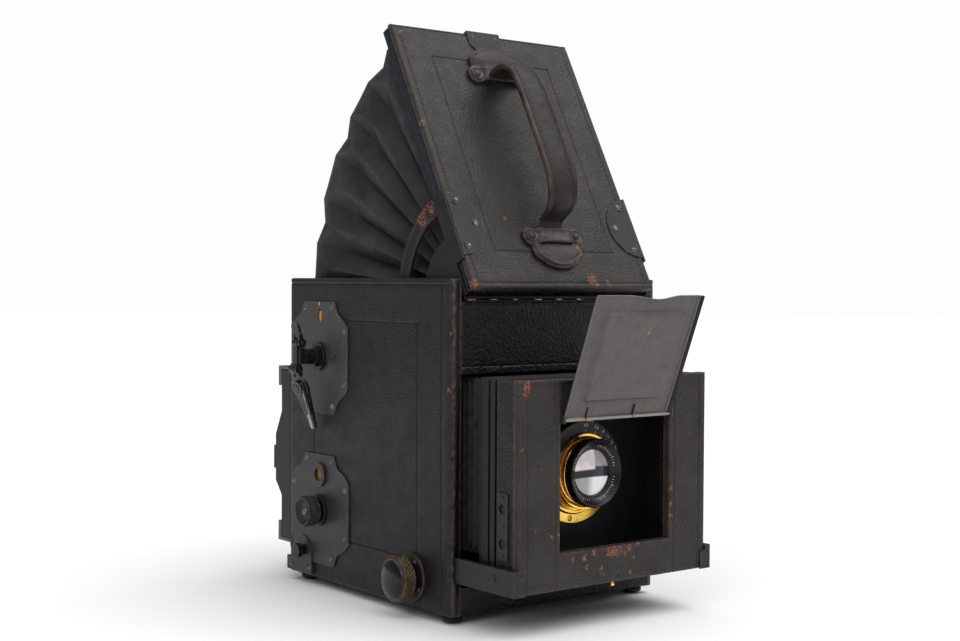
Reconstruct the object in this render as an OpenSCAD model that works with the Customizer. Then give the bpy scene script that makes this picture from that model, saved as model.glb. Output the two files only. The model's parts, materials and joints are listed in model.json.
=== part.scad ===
// Single-lens reflex box camera for 4 x 5 in plates: a leather-covered box with a front that racks in
// and out, a lid that opens forward with a fan-pleated viewing hood, a lens flap and a plate holder.
// Drawn about x = 0 (middle), y = 0 (front face of the box) and z = 0 (bottom of the feet), then moved
// by place() so that the origin is the bottom centre of the whole object.

/* [Box] */
// Width of the box over both side walls
body_w = 165; // [164:0.5:167]
// Depth of the box from its front face to its back
body_d = 182; // [181:0.5:184]
// Height of the side walls' top above the table
body_h = 204; // [203.5:0.5:205]
// Thickness of each wooden side wall
wall_t = 8; // [7.8:0.1:8.4]
// Height of the turned feet
foot_h = 5; // [4:0.5:5]

/* [Lid] */
// Angle of the opened lid above the horizontal
lid_angle = 62.1; // [55:0.1:66]
// Length of the lid from its hinge to its free end
lid_len = 187; // [184:0.5:188]
// Thickness of the lid, from the hinge axis to the leather
lid_t = 11; // [10:0.5:11]
// Outer radius of the fan-shaped hood
hood_r = 174; // [168:1:177]

/* [Front] */
// Distance of the front panel's face ahead of the box
front_out = 54; // [50:0.5:56]
// Height of the lens axis
lens_z = 88; // [86:0.5:90]
// Length of the lens flap
flap_len = 77; // [70:0.5:78]
// Lean of the opened flap ahead of the vertical
flap_lean = 21; // [10:1:30]

/* [Lens] */
// Radius of the brass flange
flange_r = 32.6; // [30:0.2:33]
// Radius of the black front rim
rim_r = 20.8; // [20:0.1:22]
// Radius of the visible front glass
glass_r = 13.8; // [13:0.1:15]

/* [Controls] */
// Radius of the focusing knob
focus_r = 13.7; // [12:0.1:14]
// Radius of the curtain-tension knob
tension_r = 10; // [9:0.1:10.4]
// Length of the winding key's long wing
wing_len = 42; // [36:0.5:44]

/* [Hidden] */
$fn = 96;
fit = 0.05;            // radial clearance of a running shaft

// The box
half_w = body_w / 2;
in_x = half_w - wall_t;         // inner face of a side wall
deck_x = 72;                    // half width of what sits between the lid arms
deck_z = body_h - 16;           // top of the ground-glass deck
hinge_z = body_h - lid_t;       // lid hinge axis
gate = [127, 102];              // picture opening, x by z
open_z0 = 22;                   // front opening, bottom and top
open_z1 = 147.4;
groove_x = 79.4;                // bottom of the wall grooves that guide the focusing rails
rear_y = body_d - 8;            // front face of the rear frame
skin_t = 1.5;

// Front standard
panel_x = 74.2;
panel_z0 = 25.6;
panel_z1 = 147;
panel_t = 5.4;
panel_y = -front_out;
box_y0 = panel_y + panel_t;
box_y1 = -30.6;
board_y = -15;                  // front face of the lens board
board_t = 3;
win_x = 43.5;                   // lens window in the panel
win_z0 = 47;
win_z1 = 144.7;

// Flap hinge
flap_y = panel_y - 1.2;
flap_z = 123.2;
flap_x = 42;

// Handle, along the lid from its hinge
loop_near = 35;
loop_far = 153.2;
loop_x = 17.6;                  // rivets of a loop
tail_x = 19.3;
strap_s = 99;
strap_half = 55;
strap_rise = 30;
strap_x = 10.7;
latch_x = 13.4;

// Controls on the left wall
key_y = 143.5;
key_z = 152.5;
roller_y = 166;
roller_low_z = 27;
gear_m = 1;
key_teeth = 27;
roller_teeth = 18;
tens_y = 143;
tens_z = 51.1;
foc_y = 39.2;
foc_z = 23.2;
rel_y = 159.9;
rel_z = 22.6;
release_r = 3.5;
pinion_teeth = 10;
pinion_r = pinion_teeth * gear_m / 2;
rack_z = foc_z + pinion_r;      // pitch line of the racks
plate_t = 1;
plate_x = -half_w - plate_t;    // outer face of the left plates

// Mirror
mir_y = 140;
mir_z = 142;
mir_len = 105;
mir_x = 58;

// Plate back
back_y = body_d;
hold_y0 = body_d + 4.5;
hold_y1 = body_d + 16.5;
hold_x = 79.5;
hold_z0 = 25.5;
hold_z1 = 141;

// Reach of the whole object, which sets where the origin lies
reach_left = -104.4;
reach_right = 89;
reach_front = -83.6;
reach_back = body_d + 27;
module place() {
  translate([-(reach_left + reach_right) / 2, -(reach_front + reach_back) / 2, 0]) children();
}

// ---- helpers -------------------------------------------------------------------------------
module box(x, y, z) {
  translate([x[0], y[0], z[0]]) cube([x[1] - x[0], y[1] - y[0], z[1] - z[0]]);
}
// cylinder along X, from x[0] to x[1], about (y, z)
module rod_x(x, y, z, r) {
  translate([x[0], y, z]) rotate([0, 90, 0]) cylinder(r = r, h = x[1] - x[0]);
}
// cylinder along Y, from y[0] to y[1], about (x, z)
module rod_y(y, x, z, r) {
  translate([x, y[0], z]) rotate([-90, 0, 0]) cylinder(r = r, h = y[1] - y[0]);
}
// extrude an outline given in (y, z) along X
module plate_x_of(x) {
  translate([x[0], 0, 0]) rotate([90, 0, 90]) linear_extrude(x[1] - x[0]) children();
}
// extrude an outline given in (x, z) along Y
module plate_y_of(y) {
  translate([0, y[1], 0]) rotate([90, 0, 0]) linear_extrude(y[1] - y[0]) children();
}
module both_sides() {
  children();
  mirror([1, 0, 0]) children();
}
// the lid's own frame: y along the lid from the hinge, z up through it when it is shut
module on_lid() {
  translate([0, 0, hinge_z]) rotate([lid_angle, 0, 0]) children();
}
// spur gear outline with slim straight-sided teeth
module gear_outline(teeth, m, turn = 0) {
  r = teeth * m / 2;
  rotate(turn) union() {
    circle(r = r - 1.2 * m);
    for (i = [0 : teeth - 1]) rotate(i * 360 / teeth)
      polygon([[r - 1.3 * m, -0.85 * m], [r, -0.62 * m], [r + 0.8 * m, -0.28 * m],
               [r + 0.8 * m, 0.28 * m], [r, 0.62 * m], [r - 1.3 * m, 0.85 * m]]);
  }
}
module screw_head(r = 1.9, t = 0.7) {
  difference() {
    cylinder(r = r, h = t);
    translate([-r, -0.3, t / 2]) cube([2 * r, 0.6, t]);
  }
}
// a screw on a left plate, slot turned by a
module left_screw(y, z, a = 30, x = plate_x, r = 1.9) {
  translate([x, y, z]) rotate([0, -90, 0]) rotate(a) screw_head(r);
}
// stepped octagon with scooped shoulders, centred on (y, z)
module plate_outline(w, h, end_w, shoulder) {
  difference() {
    square([w, h], center = true);
    for (i = [-1, 1], j = [-1, 1]) scale([i, j]) {
      polygon([[end_w / 2, h / 2 + 1], [end_w / 2, h / 2], [end_w / 2 + 4, h / 2 - shoulder * 0.55],
               [w / 2 - 5, h / 2 - shoulder + 2.5], [w / 2, h / 2 - shoulder - 2.5],
               [w / 2 + 1, h / 2 - shoulder - 2.5], [w / 2 + 1, h / 2 + 1]]);
    }
  }
}
module curtain_outline() {
  translate([key_y, 152]) plate_outline(69, 73, 37.2, 14.5);
}
module tension_outline() {
  translate([tens_y - 0.3, 51.9]) plate_outline(71, 72.4, 35, 14.5);
}

// ---- the box -------------------------------------------------------------------------------
module wall_blank(s) {
  difference() {
    box(s > 0 ? [in_x, half_w] : [-half_w, -in_x], [0, body_d], [foot_h, body_h]);
    // groove for the focusing rail
    box(s > 0 ? [in_x - 1, groove_x] : [-groove_x, -in_x + 1], [-1, 119], [25.2, 40.4]);
  }
}
module side_wall_left() {
  color("#1d1b1a") place() difference() {
    wall_blank(-1);
    rod_x([-half_w - 1, -80.7], key_y, key_z, 31);
    rod_x([-half_w - 1, -77.3], key_y, key_z, 15.4);
    rod_x([-half_w - 1, -77.3], roller_y, key_z, 10.9);
    rod_x([-90, -70], key_y, key_z, 4 + fit);
    rod_x([-90, -70], roller_y, key_z, 2.5 + fit);
    rod_x([-half_w - 1, -80.7], tens_y, tens_z, 28.5);
    rod_x([-90, -70], tens_y, tens_z, 4 + fit);
    rod_x([-90, -70], foc_y, foc_z, 1.8 + fit);
    rod_x([-90, -70], rel_y, rel_z, release_r + fit);
    rod_x([-78, -70], roller_y, roller_low_z, 2.5 + fit);
  }
}
module side_wall_right() {
  color("#1d1b1a") place() difference() {
    wall_blank(1);
    rod_x([70, 78], roller_y, key_z, 2.5 + fit);
    rod_x([70, 78], roller_y, roller_low_z, 2.5 + fit);
    rod_x([70, 79], foc_y, foc_z, 1.8 + fit);
    rod_x([70, 90], mir_y, mir_z, 2.5 + fit);
  }
}
module front_boards() {
  color("#211f1d") place() {
    box([-in_x, in_x], [0, skin_t], [open_z1, hinge_z - 5]);
    box([-deck_x, deck_x], [skin_t, 8], [open_z1, hinge_z - 2.8]);
    box([-in_x, in_x], [0, 8], [foot_h, open_z0]);
  }
}
module base_board() {
  color("#2a2420") place() difference() {
    box([-in_x, in_x], [8, rear_y], [foot_h, foot_h + 8]);
    translate([0, 91, 0]) cylinder(r = 9, h = 40);
  }
}
module rear_frame() {
  color("#241f1c") place() difference() {
    box([-in_x, in_x], [rear_y, body_d], [foot_h, hinge_z]);
    box([-gate[0] / 2, gate[0] / 2], [rear_y - 1, body_d + 1],
        [lens_z - gate[1] / 2, lens_z + gate[1] / 2]);
  }
}
module feet() {
  color("#161616") place() for (p = [[-73, 9.5], [73, 9.5], [-72, 171], [72, 171]])
    translate([p[0], p[1], 0]) rotate_extrude() polygon([[0, 0], [4.2, 0], [6.3, 1.4], [6.6, 3],
      [5.4, foot_h], [0, foot_h]]);
}
module tripod_bush() {
  color("#b08d3c") place() translate([0, 91, foot_h]) difference() {
    cylinder(r = 9, h = 8);
    translate([0, 0, -1]) cylinder(r = 3.175, h = 8);
  }
}
module mirror_box() {
  color("#151413") place() union() {
    difference() {
      both_sides() {
        box([66, deck_x], [40, 70], [44, 176]);
        box([66, in_x - 0.2], [70, 158], [44, 176]);
      }
      rod_x([-68, -65], mir_y, mir_z, 2 + fit);
      rod_x([60, 80], mir_y, mir_z, 2.5 + fit);
    }
    both_sides() box([61, deck_x], [34, 40], [44, 176]);
    box([-deck_x, deck_x], [34, 40], [144.6, 176]);
    box([-deck_x, deck_x], [34, 40], [38, 44]);
  }
}
module ground_glass_frame() {
  color("#191817") place() difference() {
    box([-deck_x, deck_x], [8.2, rear_y - 0.2], [176, deck_z]);
    box([-60.5, 60.5], [38, 134], [170, 200]);
    box([-63.5, 63.5], [35, 137], [182, 200]);
  }
}
module ground_glass() {
  color("#cfd6d2") place() box([-63.4, 63.4], [35.1, 136.9], [182, 184]);
}
module shutter_curtain() {
  color("#101010") place() box([-66, 66], [172, 172.5], [30, 150]);
}
module hinge_knuckles(first) {
  for (i = [first : 2 : 16]) box_knuckle(-72.25 + i * 8.5);
}
module box_knuckle(x) {
  rod_x([x + 0.15, x + 8.35], 0, 0, 1.5);
}
module hinge_body_leaf() {
  color("#3a342c") place() translate([0, 0, hinge_z]) difference() {
    union() {
      box([-72.2, 72.2], [-1.2, 8], [-2.8, -1.8]);
      hinge_knuckles(0);
      for (i = [0 : 2 : 16]) box([-72.1 + i * 8.5, -63.9 + i * 8.5], [-1.2, 1.2], [-2.8, 0]);
    }
    rod_x([-80, 80], 0, 0, 0.8 + fit);
  }
}
module hinge_pin() {
  color("#8b7443") place() rod_x([-72.2, 72.2], 0, hinge_z, 0.8);
}
module curtain_plate() {
  color("#4a4b4e") place() difference() {
    plate_x_of([plate_x, -half_w]) curtain_outline();
    rod_x([-90, -70], key_y, key_z, 4.6);
    rod_x([-90, -70], key_y - 20.6, key_z + 0.4, 1.1);
    for (dz = [-1.6, 1.6]) rod_x([-90, -70], key_y - 0.6, key_z + 27 + dz, 2.6);
    box([-90, -70], [key_y - 3.2, key_y + 2], [key_z + 25.4, key_z + 28.6]);
  }
}
module tension_plate() {
  color("#4a4b4e") place() difference() {
    union() {
      plate_x_of([plate_x, -half_w]) tension_outline();
      rod_x([plate_x - 1.8, -half_w], tens_y - 1, 74.6, 8.1);
    }
    rod_x([-90, -70], tens_y, tens_z, 4.6);
    rod_x([-90, -70], tens_y - 1, 74.6, 4.2);
    rod_x([-90, -70], rel_y, rel_z, release_r + 0.2);
  }
}
module release_plate() {
  color("#47484b") place() difference() {
    plate_x_of([plate_x - 1, -half_w]) union() {
      translate([rel_y + 2.6, 20]) circle(r = 11.8);
      translate([rel_y - 9.2, 7]) square([23.6, 14]);
      translate([rel_y - 9.2, 7]) square([31.1, 9]);
    }
    plate_x_of([plate_x, -half_w + 1]) tension_outline();
    rod_x([-90, -70], rel_y, rel_z, release_r + 0.2);
  }
}
module plate_screws() {
  color("#7c7c7e") place() {
    for (i = [-1, 1]) {
      left_screw(key_y + i * 16.2, 184.6, 20);
      left_screw(key_y + i * 30.4, 169.6, 70);
      left_screw(key_y + i * 30.6, 135.4, -40);
      left_screw(key_y + i * 16.6, 120.3, 10);
      left_screw(tens_y + i * 15, 84, 50);
      left_screw(tens_y + i * 31.5, 67.5, -15);
    }
    left_screw(tens_y - 31.5, 36, 80);
    left_screw(tens_y - 15, 20.4, 35);
    left_screw(rel_y + 16, 11, 60, plate_x - 1);
    left_screw(rel_y - 5.5, 11, -30, plate_x - 1);
  }
}
module focus_flange() {
  color("#5d4a2c") place() difference() {
    union() {
      rod_x([-half_w - 1.4, -half_w], foc_y, foc_z, 15.5);
      rod_x([-half_w - 2.2, -half_w], foc_y, foc_z, 7);
    }
    rod_x([-90, -70], foc_y, foc_z, 1.8 + fit);
  }
}
module lens_bellows() {
  color("#141414") place() difference() {
    box([-63, 63], [board_y + board_t + 0.1, 33.9], [40, 146]);
    box([-60.5, 60.5], [-20, 40], [42.5, 143.5]);
  }
}
module hood_bellows() {
  // a fan about the hinge, open below and towards the lid, with an eye opening behind
  color("#26272b") place() difference() {
    intersection() {
      rod_x([-66, 66], 0, hinge_z, hood_r);
      plate_x_of([-66, 66]) hood_wedge(0);
    }
    intersection() {
      rod_x([-63.5, 63.5], 0, hinge_z, hood_r - 2.5);
      plate_x_of([-63.5, 63.5]) hood_wedge(5);
    }
    rod_y([hood_r * 0.4, 260], 0, hinge_z + hood_r * 0.66, 25);
  }
}
module hood_wedge(grow) {
  a = lid_angle + (grow > 0 ? 2 : 0);
  y0 = 12.5 - grow;
  translate([0, hinge_z]) polygon([[y0, -4.7 - grow], [250, -4.7 - grow], [250, 250 * tan(a) - 1],
    [y0, y0 * tan(a) - 1]]);
}

// ---- plate back ----------------------------------------------------------------------------
module back_frame() {
  color("#1b1a19") place() difference() {
    box([-hold_x, hold_x], [back_y, hold_y0], [20, 146]);
    box([-gate[0] / 2, gate[0] / 2], [back_y - 1, hold_y0 + 1],
        [lens_z - gate[1] / 2, lens_z + gate[1] / 2]);
  }
}
module plate_holder() {
  color("#1a1919") place() difference() {
    union() {
      box([-hold_x, hold_x], [hold_y0, hold_y1], [hold_z0, hold_z1]);
      plate_x_of([-hold_x, hold_x]) polygon([[hold_y1 - 1, 52], [hold_y1 + 0.5, 55],
        [hold_y1 + 8, 64], [hold_y1 + 8, 72], [hold_y1 + 10.5, 72], [hold_y1 + 10.5, 88],
        [hold_y1 + 8, 88], [hold_y1 + 8, 96], [hold_y1 + 0.7, 111], [hold_y1 - 1, 113]]);
    }
    // slot for the dark slide, open on the right
    box([-76, 85], [hold_y0 + 1.3, hold_y0 + 3.1], [34, 136]);
    box([-60, 60], [hold_y0 - 1, hold_y0 + 2], [40, 136 - 2]);
    box([-62, 62], [hold_y0 + 2, hold_y0 + 6], [39, 135]);
  }
}
module dark_slide() {
  color("#2a2320") place() union() {
    box([-75.8, 80], [hold_y0 + 1.45, hold_y0 + 2.95], [34.2, 135.8]);
    box([80, 85.5], [hold_y0 + 0.6, hold_y0 + 4.4], [50, 120]);
  }
}
module back_lock() {
  box([-hold_x, hold_x], [hold_y0 + 0.1, hold_y1 + 4.1], [hold_z1 + 0.3, hold_z1 + 2.6]);
  box([-hold_x, hold_x], [hold_y1 + 0.6, hold_y1 + 4.1], [130, hold_z1 + 1]);
}
module back_lock_upper() {
  color("#6c6e72") place() back_lock();
}
module back_lock_lower() {
  color("#6c6e72") place() translate([0, 0, hold_z0 + hold_z1]) mirror([0, 0, 1]) back_lock();
}

// ---- lid -----------------------------------------------------------------------------------
module lid_panel() {
  color("#2a2c26") place() on_lid() box([-72.5, 72.5], [0.6, lid_len], [5, lid_t]);
}
module lid_frame() {
  color("#1c2430") place() on_lid() difference() {
    box([-72.4, 72.4], [1.8, lid_len - 0.5], [1.2, 5]);
    box([-66, 66], [12, lid_len - 7], [0, 6]);
  }
}
module corner_outline() {
  // half oval that reaches in from the lid's edge
  intersection() {
    translate([50, 20]) square([22.5, 50]);
    translate([72.5, 43.5]) circle(r = 21);
  }
}
module lid_plates() {
  color("#4b4c4f") place() on_lid() {
    both_sides() translate([0, 0, lid_t]) linear_extrude(0.9) corner_outline();
    // latch plate: a shield on the face, bent over the free edge
    translate([0, lid_len, lid_t]) linear_extrude(1) intersection() {
      translate([0, -1]) circle(r = 15.5);
      translate([-latch_x, -20]) square([2 * latch_x, 21.2]);
    }
    box([-latch_x, latch_x], [lid_len, lid_len + 1.2], [2, lid_t]);
    both_sides() for (p = [[67, 58], [57.5, 44], [68.5, 29]])
      translate([p[0], p[1], lid_t + 0.9]) screw_head(1.8);
  }
}
module lid_arms() {
  color("#3e3c3a") place() on_lid() both_sides() plate_x_of([72.5, 74]) union() {
    translate([20, 0.5]) square([46, lid_t]);
    intersection() {
      circle(r = 38);
      polygon([[0, 4], [60, 4], [60, -44], [20, -40], [4, -8]]);
    }
    intersection() {
      difference() {
        circle(r = 66);
        circle(r = 55);
      }
      polygon([[0, 0], [90, 5], [90, -60], [90 * cos(60), -90 * sin(60)]]);
    }
  }
}
module hinge_lid_leaf() {
  color("#3a342c") place() on_lid() difference() {
    union() {
      box([-72.2, 72.2], [1.9, 11], [0, 1.2]);
      hinge_knuckles(1);
      for (i = [1 : 2 : 16]) box([-72.1 + i * 8.5, -63.9 + i * 8.5], [0, 2.5], [-0.2, 1.2]);
    }
    rod_x([-80, 80], 0, 0, 0.8 + fit);
  }
}
// height of the arched strap's outer face above the lid, t from -1 to 1 along it
function arch(t) = pow(1 - pow(abs(t), 2.6), 1 / 2.6);
module arch_outline(half, rise) {
  polygon([for (i = [-14 : 14]) let (t = sin(i * 90 / 14)) [t * half, rise * arch(t)]]);
}
module handle_strap() {
  color("#33211a") place() on_lid() difference() {
    plate_x_of([-strap_x, strap_x]) translate([strap_s, lid_t]) difference() {
      arch_outline(strap_half, strap_rise);
      arch_outline(strap_half - 3.4, strap_rise - 3.4);
    }
    // room for the far loop
    box([-30, 30], [loop_far - 7, loop_far + 7], [lid_t - 1, lid_t + 3.5]);
  }
}
module handle_loop() {
  box([-loop_x, loop_x], [-5.2, 5.2], [0, 2.2]);
  for (i = [-1, 1]) translate([i * loop_x, 0, 0]) {
    cylinder(r = 6.2, h = 2.2);
    cylinder(r = 3.4, h = 3.2);
  }
}
// end of the strap beyond its loop, raised clear of the latch plate
module handle_tail(dir) {
  translate([0, 0, 1.2]) linear_extrude(3.4) intersection() {
    translate([0, -dir * 2]) circle(r = 24);
    translate([-tail_x, dir > 0 ? 5.2 : -24]) square([2 * tail_x, 18.8]);
  }
}
module handle_anchors() {
  color("#2b2522") place() on_lid() translate([0, 0, lid_t]) {
    translate([0, loop_near, 0]) {
      handle_loop();
      handle_tail(-1);
    }
    translate([0, loop_far, 0]) {
      handle_loop();
      handle_tail(1);
    }
  }
}

// ---- front standard ------------------------------------------------------------------------
module front_panel() {
  color("#201d1b") place() difference() {
    box([-panel_x, panel_x], [panel_y, box_y0], [panel_z0, panel_z1]);
    box([-win_x, win_x], [panel_y - 1, box_y0 + 1], [win_z0, win_z1]);
  }
}
module front_box() {
  color("#1f1d1c") place() difference() {
    box([-deck_x, deck_x], [box_y0, box_y1], [panel_z0, 146.6]);
    box([-66, 66], [box_y0 - 1, box_y1 + 1], [31.6, 141]);
  }
}
module front_box_frame() {
  color("#171514") place() difference() {
    union() {
      box([-deck_x + 2, deck_x - 2], [box_y1, board_y], [panel_z0 + 2, 144.6]);
      box([-deck_x, deck_x], [-28.6, -24.4], [panel_z0, 146.6]);
      box([-deck_x, deck_x], [-22.6, -17], [panel_z0, 146.6]);
    }
    box([-60, 60], [box_y1 - 1, board_y + 1], [38, 138]);
  }
}
module lens_board() {
  color("#141312") place() difference() {
    box([-70, 70], [board_y, board_y + board_t], [27.6, 146.2]);
    rod_y([board_y - 1, board_y + 10], 0, lens_z, 18.5);
  }
}
module lens_flange() {
  color("#c39a35") place() union() {
    difference() {
      union() {
        rod_y([board_y - 2, board_y], 0, lens_z, flange_r);
        rod_y([board_y - 3.8, board_y - 1], 0, lens_z, 26.3);
        rod_y([board_y - 6.3, board_y - 1], 0, lens_z, 24.2);
      }
      rod_y([board_y - 20, board_y + 10], 0, lens_z, 18.5);
    }
    for (a = [22, 142, 262]) translate([29.3 * cos(a), board_y - 2, lens_z + 29.3 * sin(a)])
      rotate([90, 0, 0]) screw_head(1.7, 0.6);
  }
}
module lens_barrel() {
  color("#c39a35") place() difference() {
    union() {
      rod_y([-31, board_y + 7], 0, lens_z, 18.5);
      rod_y([-31, -29.9], 0, lens_z, 19.6);
    }
    rod_y([-60, 20], 0, lens_z, 15.5);
  }
}
module lens_front_cell() {
  color("#111111") place() translate([0, 0, lens_z]) rotate([90, 0, 0]) rotate_extrude()
    polygon([[glass_r, 31.6], [rim_r - 4, 36.4], [rim_r - 1, 37], [rim_r, 36], [rim_r, 31.2],
             [15.4, 31.2], [15.4, 30], [glass_r, 30]]);
}
module lens_glasses() {
  // bulged front glass and flatter rear glass, each a slice between two spheres
  color("#9fb7c0") place() {
    intersection() {
      rod_y([-35, -28], 0, lens_z, glass_r - 0.05);
      translate([0, 8, lens_z]) sphere(r = 42, $fn = 128);
    }
    intersection() {
      rod_y([-13, -8.5], 0, lens_z, 15.45);
      translate([0, -68.5, lens_z]) sphere(r = 60, $fn = 128);
    }
  }
}
module focus_rails() {
  color("#2e2b29") place() both_sides() {
    box([75, 78.4], [panel_y - 1, 75], [25.4, 40]);
    box([panel_x, 75], [panel_y - 1, box_y0 - 0.2], [25.4, 40]);
    box([70, 78.4], [panel_y - 1, panel_y], [25.4, 37]);
    rod_x([deck_x, 75], -35.6, 33.8, 2.4);
    translate([78.4, -35.6, 33.8]) rotate([0, 90, 0]) rotate(60) screw_head(2.4, 0.8);
  }
}
module focus_racks() {
  pitch = PI * gear_m;
  color("#a58a45") place() both_sides() plate_x_of([62, 70]) union() {
    translate([board_y + board_t, rack_z + 1.1]) square([98, 6.5]);
    for (i = [-15 : 14]) translate([foc_y + i * pitch, rack_z]) polygon([[-0.95, 1.2], [-0.62, 0],
      [-0.3, -0.8], [0.3, -0.8], [0.62, 0], [0.95, 1.2]]);
  }
}
module side_hole_plate() {
  color("#393a3c") place() both_sides() {
    difference() {
      plate_x_of([deck_x, deck_x + 1]) union() {
        translate([-42, 44]) square([9.6, 38]);
      }
      rod_x([60, 80], -37.2, 53, 3.1);
      rod_x([60, 80], -37.2, 73, 3.1);
    }
    for (z = [46.5, 63, 79.5]) translate([deck_x + 1, -37.2, z]) rotate([0, 90, 0]) screw_head(1.3, 0.5);
  }
}
module flap_mount() {
  color("#101010") place() union() {
    box([-win_x + 0.02, win_x - 0.02], [panel_y + 1.6, panel_y + 3.6], [125.4, win_z1 - 0.02]);
    both_sides() box([flap_x + 0.4, win_x - 0.02], [panel_y - 2.6, panel_y + 3.6], [121.4, 126]);
    rod_x([-win_x + 0.5, win_x - 0.5], flap_y, flap_z, 0.8);
  }
}
module lens_flap() {
  color("#54565a") place() translate([0, flap_y, flap_z]) rotate([flap_lean, 0, 0]) difference() {
    union() {
      box([-flap_x, flap_x], [-0.4, 0.4], [1.2, flap_len]);
      rod_x([-flap_x, flap_x], 0, 0, 1.6);
      box([-flap_x, flap_x], [-0.9, 0.9], [flap_len - 2, flap_len]);
    }
    rod_x([-60, 60], 0, 0, 0.8 + fit);
    for (x = [-14, 14]) box([x - 0.4, x + 0.4], [-3, 3], [-3, 3]);
  }
}
module iris_ring() {
  // a full ring with the aperture scale on a half disc above it
  color("#131313") place() difference() {
    union() {
      rod_y([-27, board_y - 6.5], 0, lens_z, 23.2);
      intersection() {
        rod_y([-25, -23.4], 0, lens_z, 30.4);
        box([-40, 40], [-30, -20], [lens_z - 5, lens_z + 40]);
      }
      translate([0, 0, lens_z]) rotate([0, 40, 0]) box([-31.4, -28], [-26, -23.4], [-1.5, 1.5]);
    }
    rod_y([-30, -10], 0, lens_z, 18.5 + fit);
    // index notch
    translate([0, 0, lens_z]) rotate([0, -21, 0]) box([-2, 2], [-30, -25.5], [21.6, 26]);
  }
}

// ---- controls ------------------------------------------------------------------------------
module focus_knob() {
  color("#1a1a1a") place() translate([0, foc_y, foc_z]) rotate([0, -90, 0]) difference() {
    rotate_extrude() polygon([[0, half_w + 2.4], [6, half_w + 2.4], [6, half_w + 5],
      [focus_r - 1, half_w + 5], [focus_r, half_w + 6], [focus_r, half_w + 12.5],
      [focus_r - 1, half_w + 13.5], [focus_r - 3.4, half_w + 13.5], [focus_r - 4, half_w + 14.6],
      [6, half_w + 16], [0, half_w + 16.4]]);
    cylinder(r = 1.8, h = half_w + 8);
  }
}
module focus_shaft() {
  color("#9a8450") place() union() {
    rod_x([-half_w - 8, 78.5], foc_y, foc_z, 1.8);
    for (s = [-1, 1]) plate_x_of(s > 0 ? [61, 71] : [-71, -61])
      translate([foc_y, foc_z]) gear_outline(pinion_teeth, gear_m, 90 + 180 / pinion_teeth);
  }
}
module winding_hub() {
  color("#5b5c5f") place() union() {
    difference() {
      union() {
        rod_x([plate_x - 2.2, plate_x - 0.2], key_y, key_z, 9.5);
        rod_x([plate_x - 5.5, plate_x - 2], key_y, key_z, 6.6);
        rod_x([plate_x - 12.5, plate_x - 5], key_y, key_z, 5);
      }
      rod_x([-92, -70], key_y, key_z, 4);
    }
    box([plate_x - 17, plate_x - 12.4], [key_y - 4.2, key_y + 4.2], [key_z - 4.2, key_z + 5.8]);
    difference() {
      union() {
        rod_y([key_y - 1.9, key_y + 1.9], -101, key_z - 7.7, 3.4);
        rod_y([key_y - 1.9, key_y + 1.9], -98.5, key_z + 9.1, 3.4);
        box([-101.5, -97.6], [key_y - 1.9, key_y + 1.9], [key_z - 7, key_z + 8]);
      }
      rod_y([key_y - 5, key_y + 5], -101, key_z - 7.7, 1 + fit);
      rod_y([key_y - 5, key_y + 5], -98.5, key_z + 9.1, 1 + fit);
    }
  }
}
module winding_gear() {
  color("#b0904a") place() difference() {
    union() {
      rod_x([-91, -in_x - 0.2], key_y, key_z, 4);
      plate_x_of([-80.5, -77.6]) translate([key_y, key_z]) gear_outline(key_teeth, gear_m);
      rod_x([-82.2, -80.9], key_y, key_z, 30);
      rod_x([-81, -80.4], key_y, key_z, 6);
    }
    rod_x([-95, -88], key_y, key_z, 1);
  }
}
// a wing's own frame: pivot at the origin, turned by a about Y
module wing_at(x, z, a) {
  translate([x, key_y, z]) rotate([0, a, 0]) children();
}
module wing_ears(dir) {
  for (s = [-1, 1]) translate([0, s * 3.25, 0]) rotate([90, 0, 0]) {
    translate([0, 0, -1.1]) cylinder(r = 3, h = 2.2);
    translate([-1.6, dir > 0 ? 0 : -6, -1.1]) cube([3.2, 6, 2.2]);
  }
  rod_y([-4.9, 4.9], 0, 0, 1);
}
module key_wing_upper() {
  color("#57585b") place() wing_at(-98.5, key_z + 9.1, -14) union() {
    wing_ears(1);
    translate([-1, 0, 0]) plate_x_of([0, 2]) union() {
      translate([-4.3, 4]) square([8.6, 6]);
      translate([0, 10]) circle(r = 4.3);
    }
  }
}
module key_wing_lower() {
  color("#57585b") place() wing_at(-101, key_z - 7.7, -19) union() {
    wing_ears(-1);
    translate([-1, 0, 0]) plate_x_of([0, 2]) union() {
      translate([0, -12.5]) circle(r = 9);
      translate([-4.3, -9]) square([8.6, 5]);
      polygon([[-8.5, -15], [8.5, -15], [2.4, -wing_len + 3], [-4, -wing_len + 3]]);
      translate([-0.8, -wing_len + 3.2]) circle(r = 3.2);
    }
    rod_x([-3, -0.9], 0.5, -12.5, 4.8);
    rod_x([-3.6, -2.9], 0.5, -12.5, 2.4);
    box([-2.2, -0.9], [-6.2, -4.4], [-30, -9]);
    box([-2.4, -0.9], [-4.6, -2.2], [-wing_len + 1.5, -29]);
  }
}
module roller_upper() {
  color("#6b5a3a") place() union() {
    plate_x_of([-80.5, -77.6]) translate([roller_y, key_z])
      gear_outline(roller_teeth, gear_m, 180 + 180 / roller_teeth);
    rod_x([-77.7, 77.5], roller_y, key_z, 2.5);
    rod_x([-68, 68], roller_y, key_z, 5);
  }
}
module roller_lower() {
  color("#6b5a3a") place() union() {
    rod_x([-77.5, 77.5], roller_y, roller_low_z, 2.5);
    rod_x([-68, 68], roller_y, roller_low_z, 5);
  }
}
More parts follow.
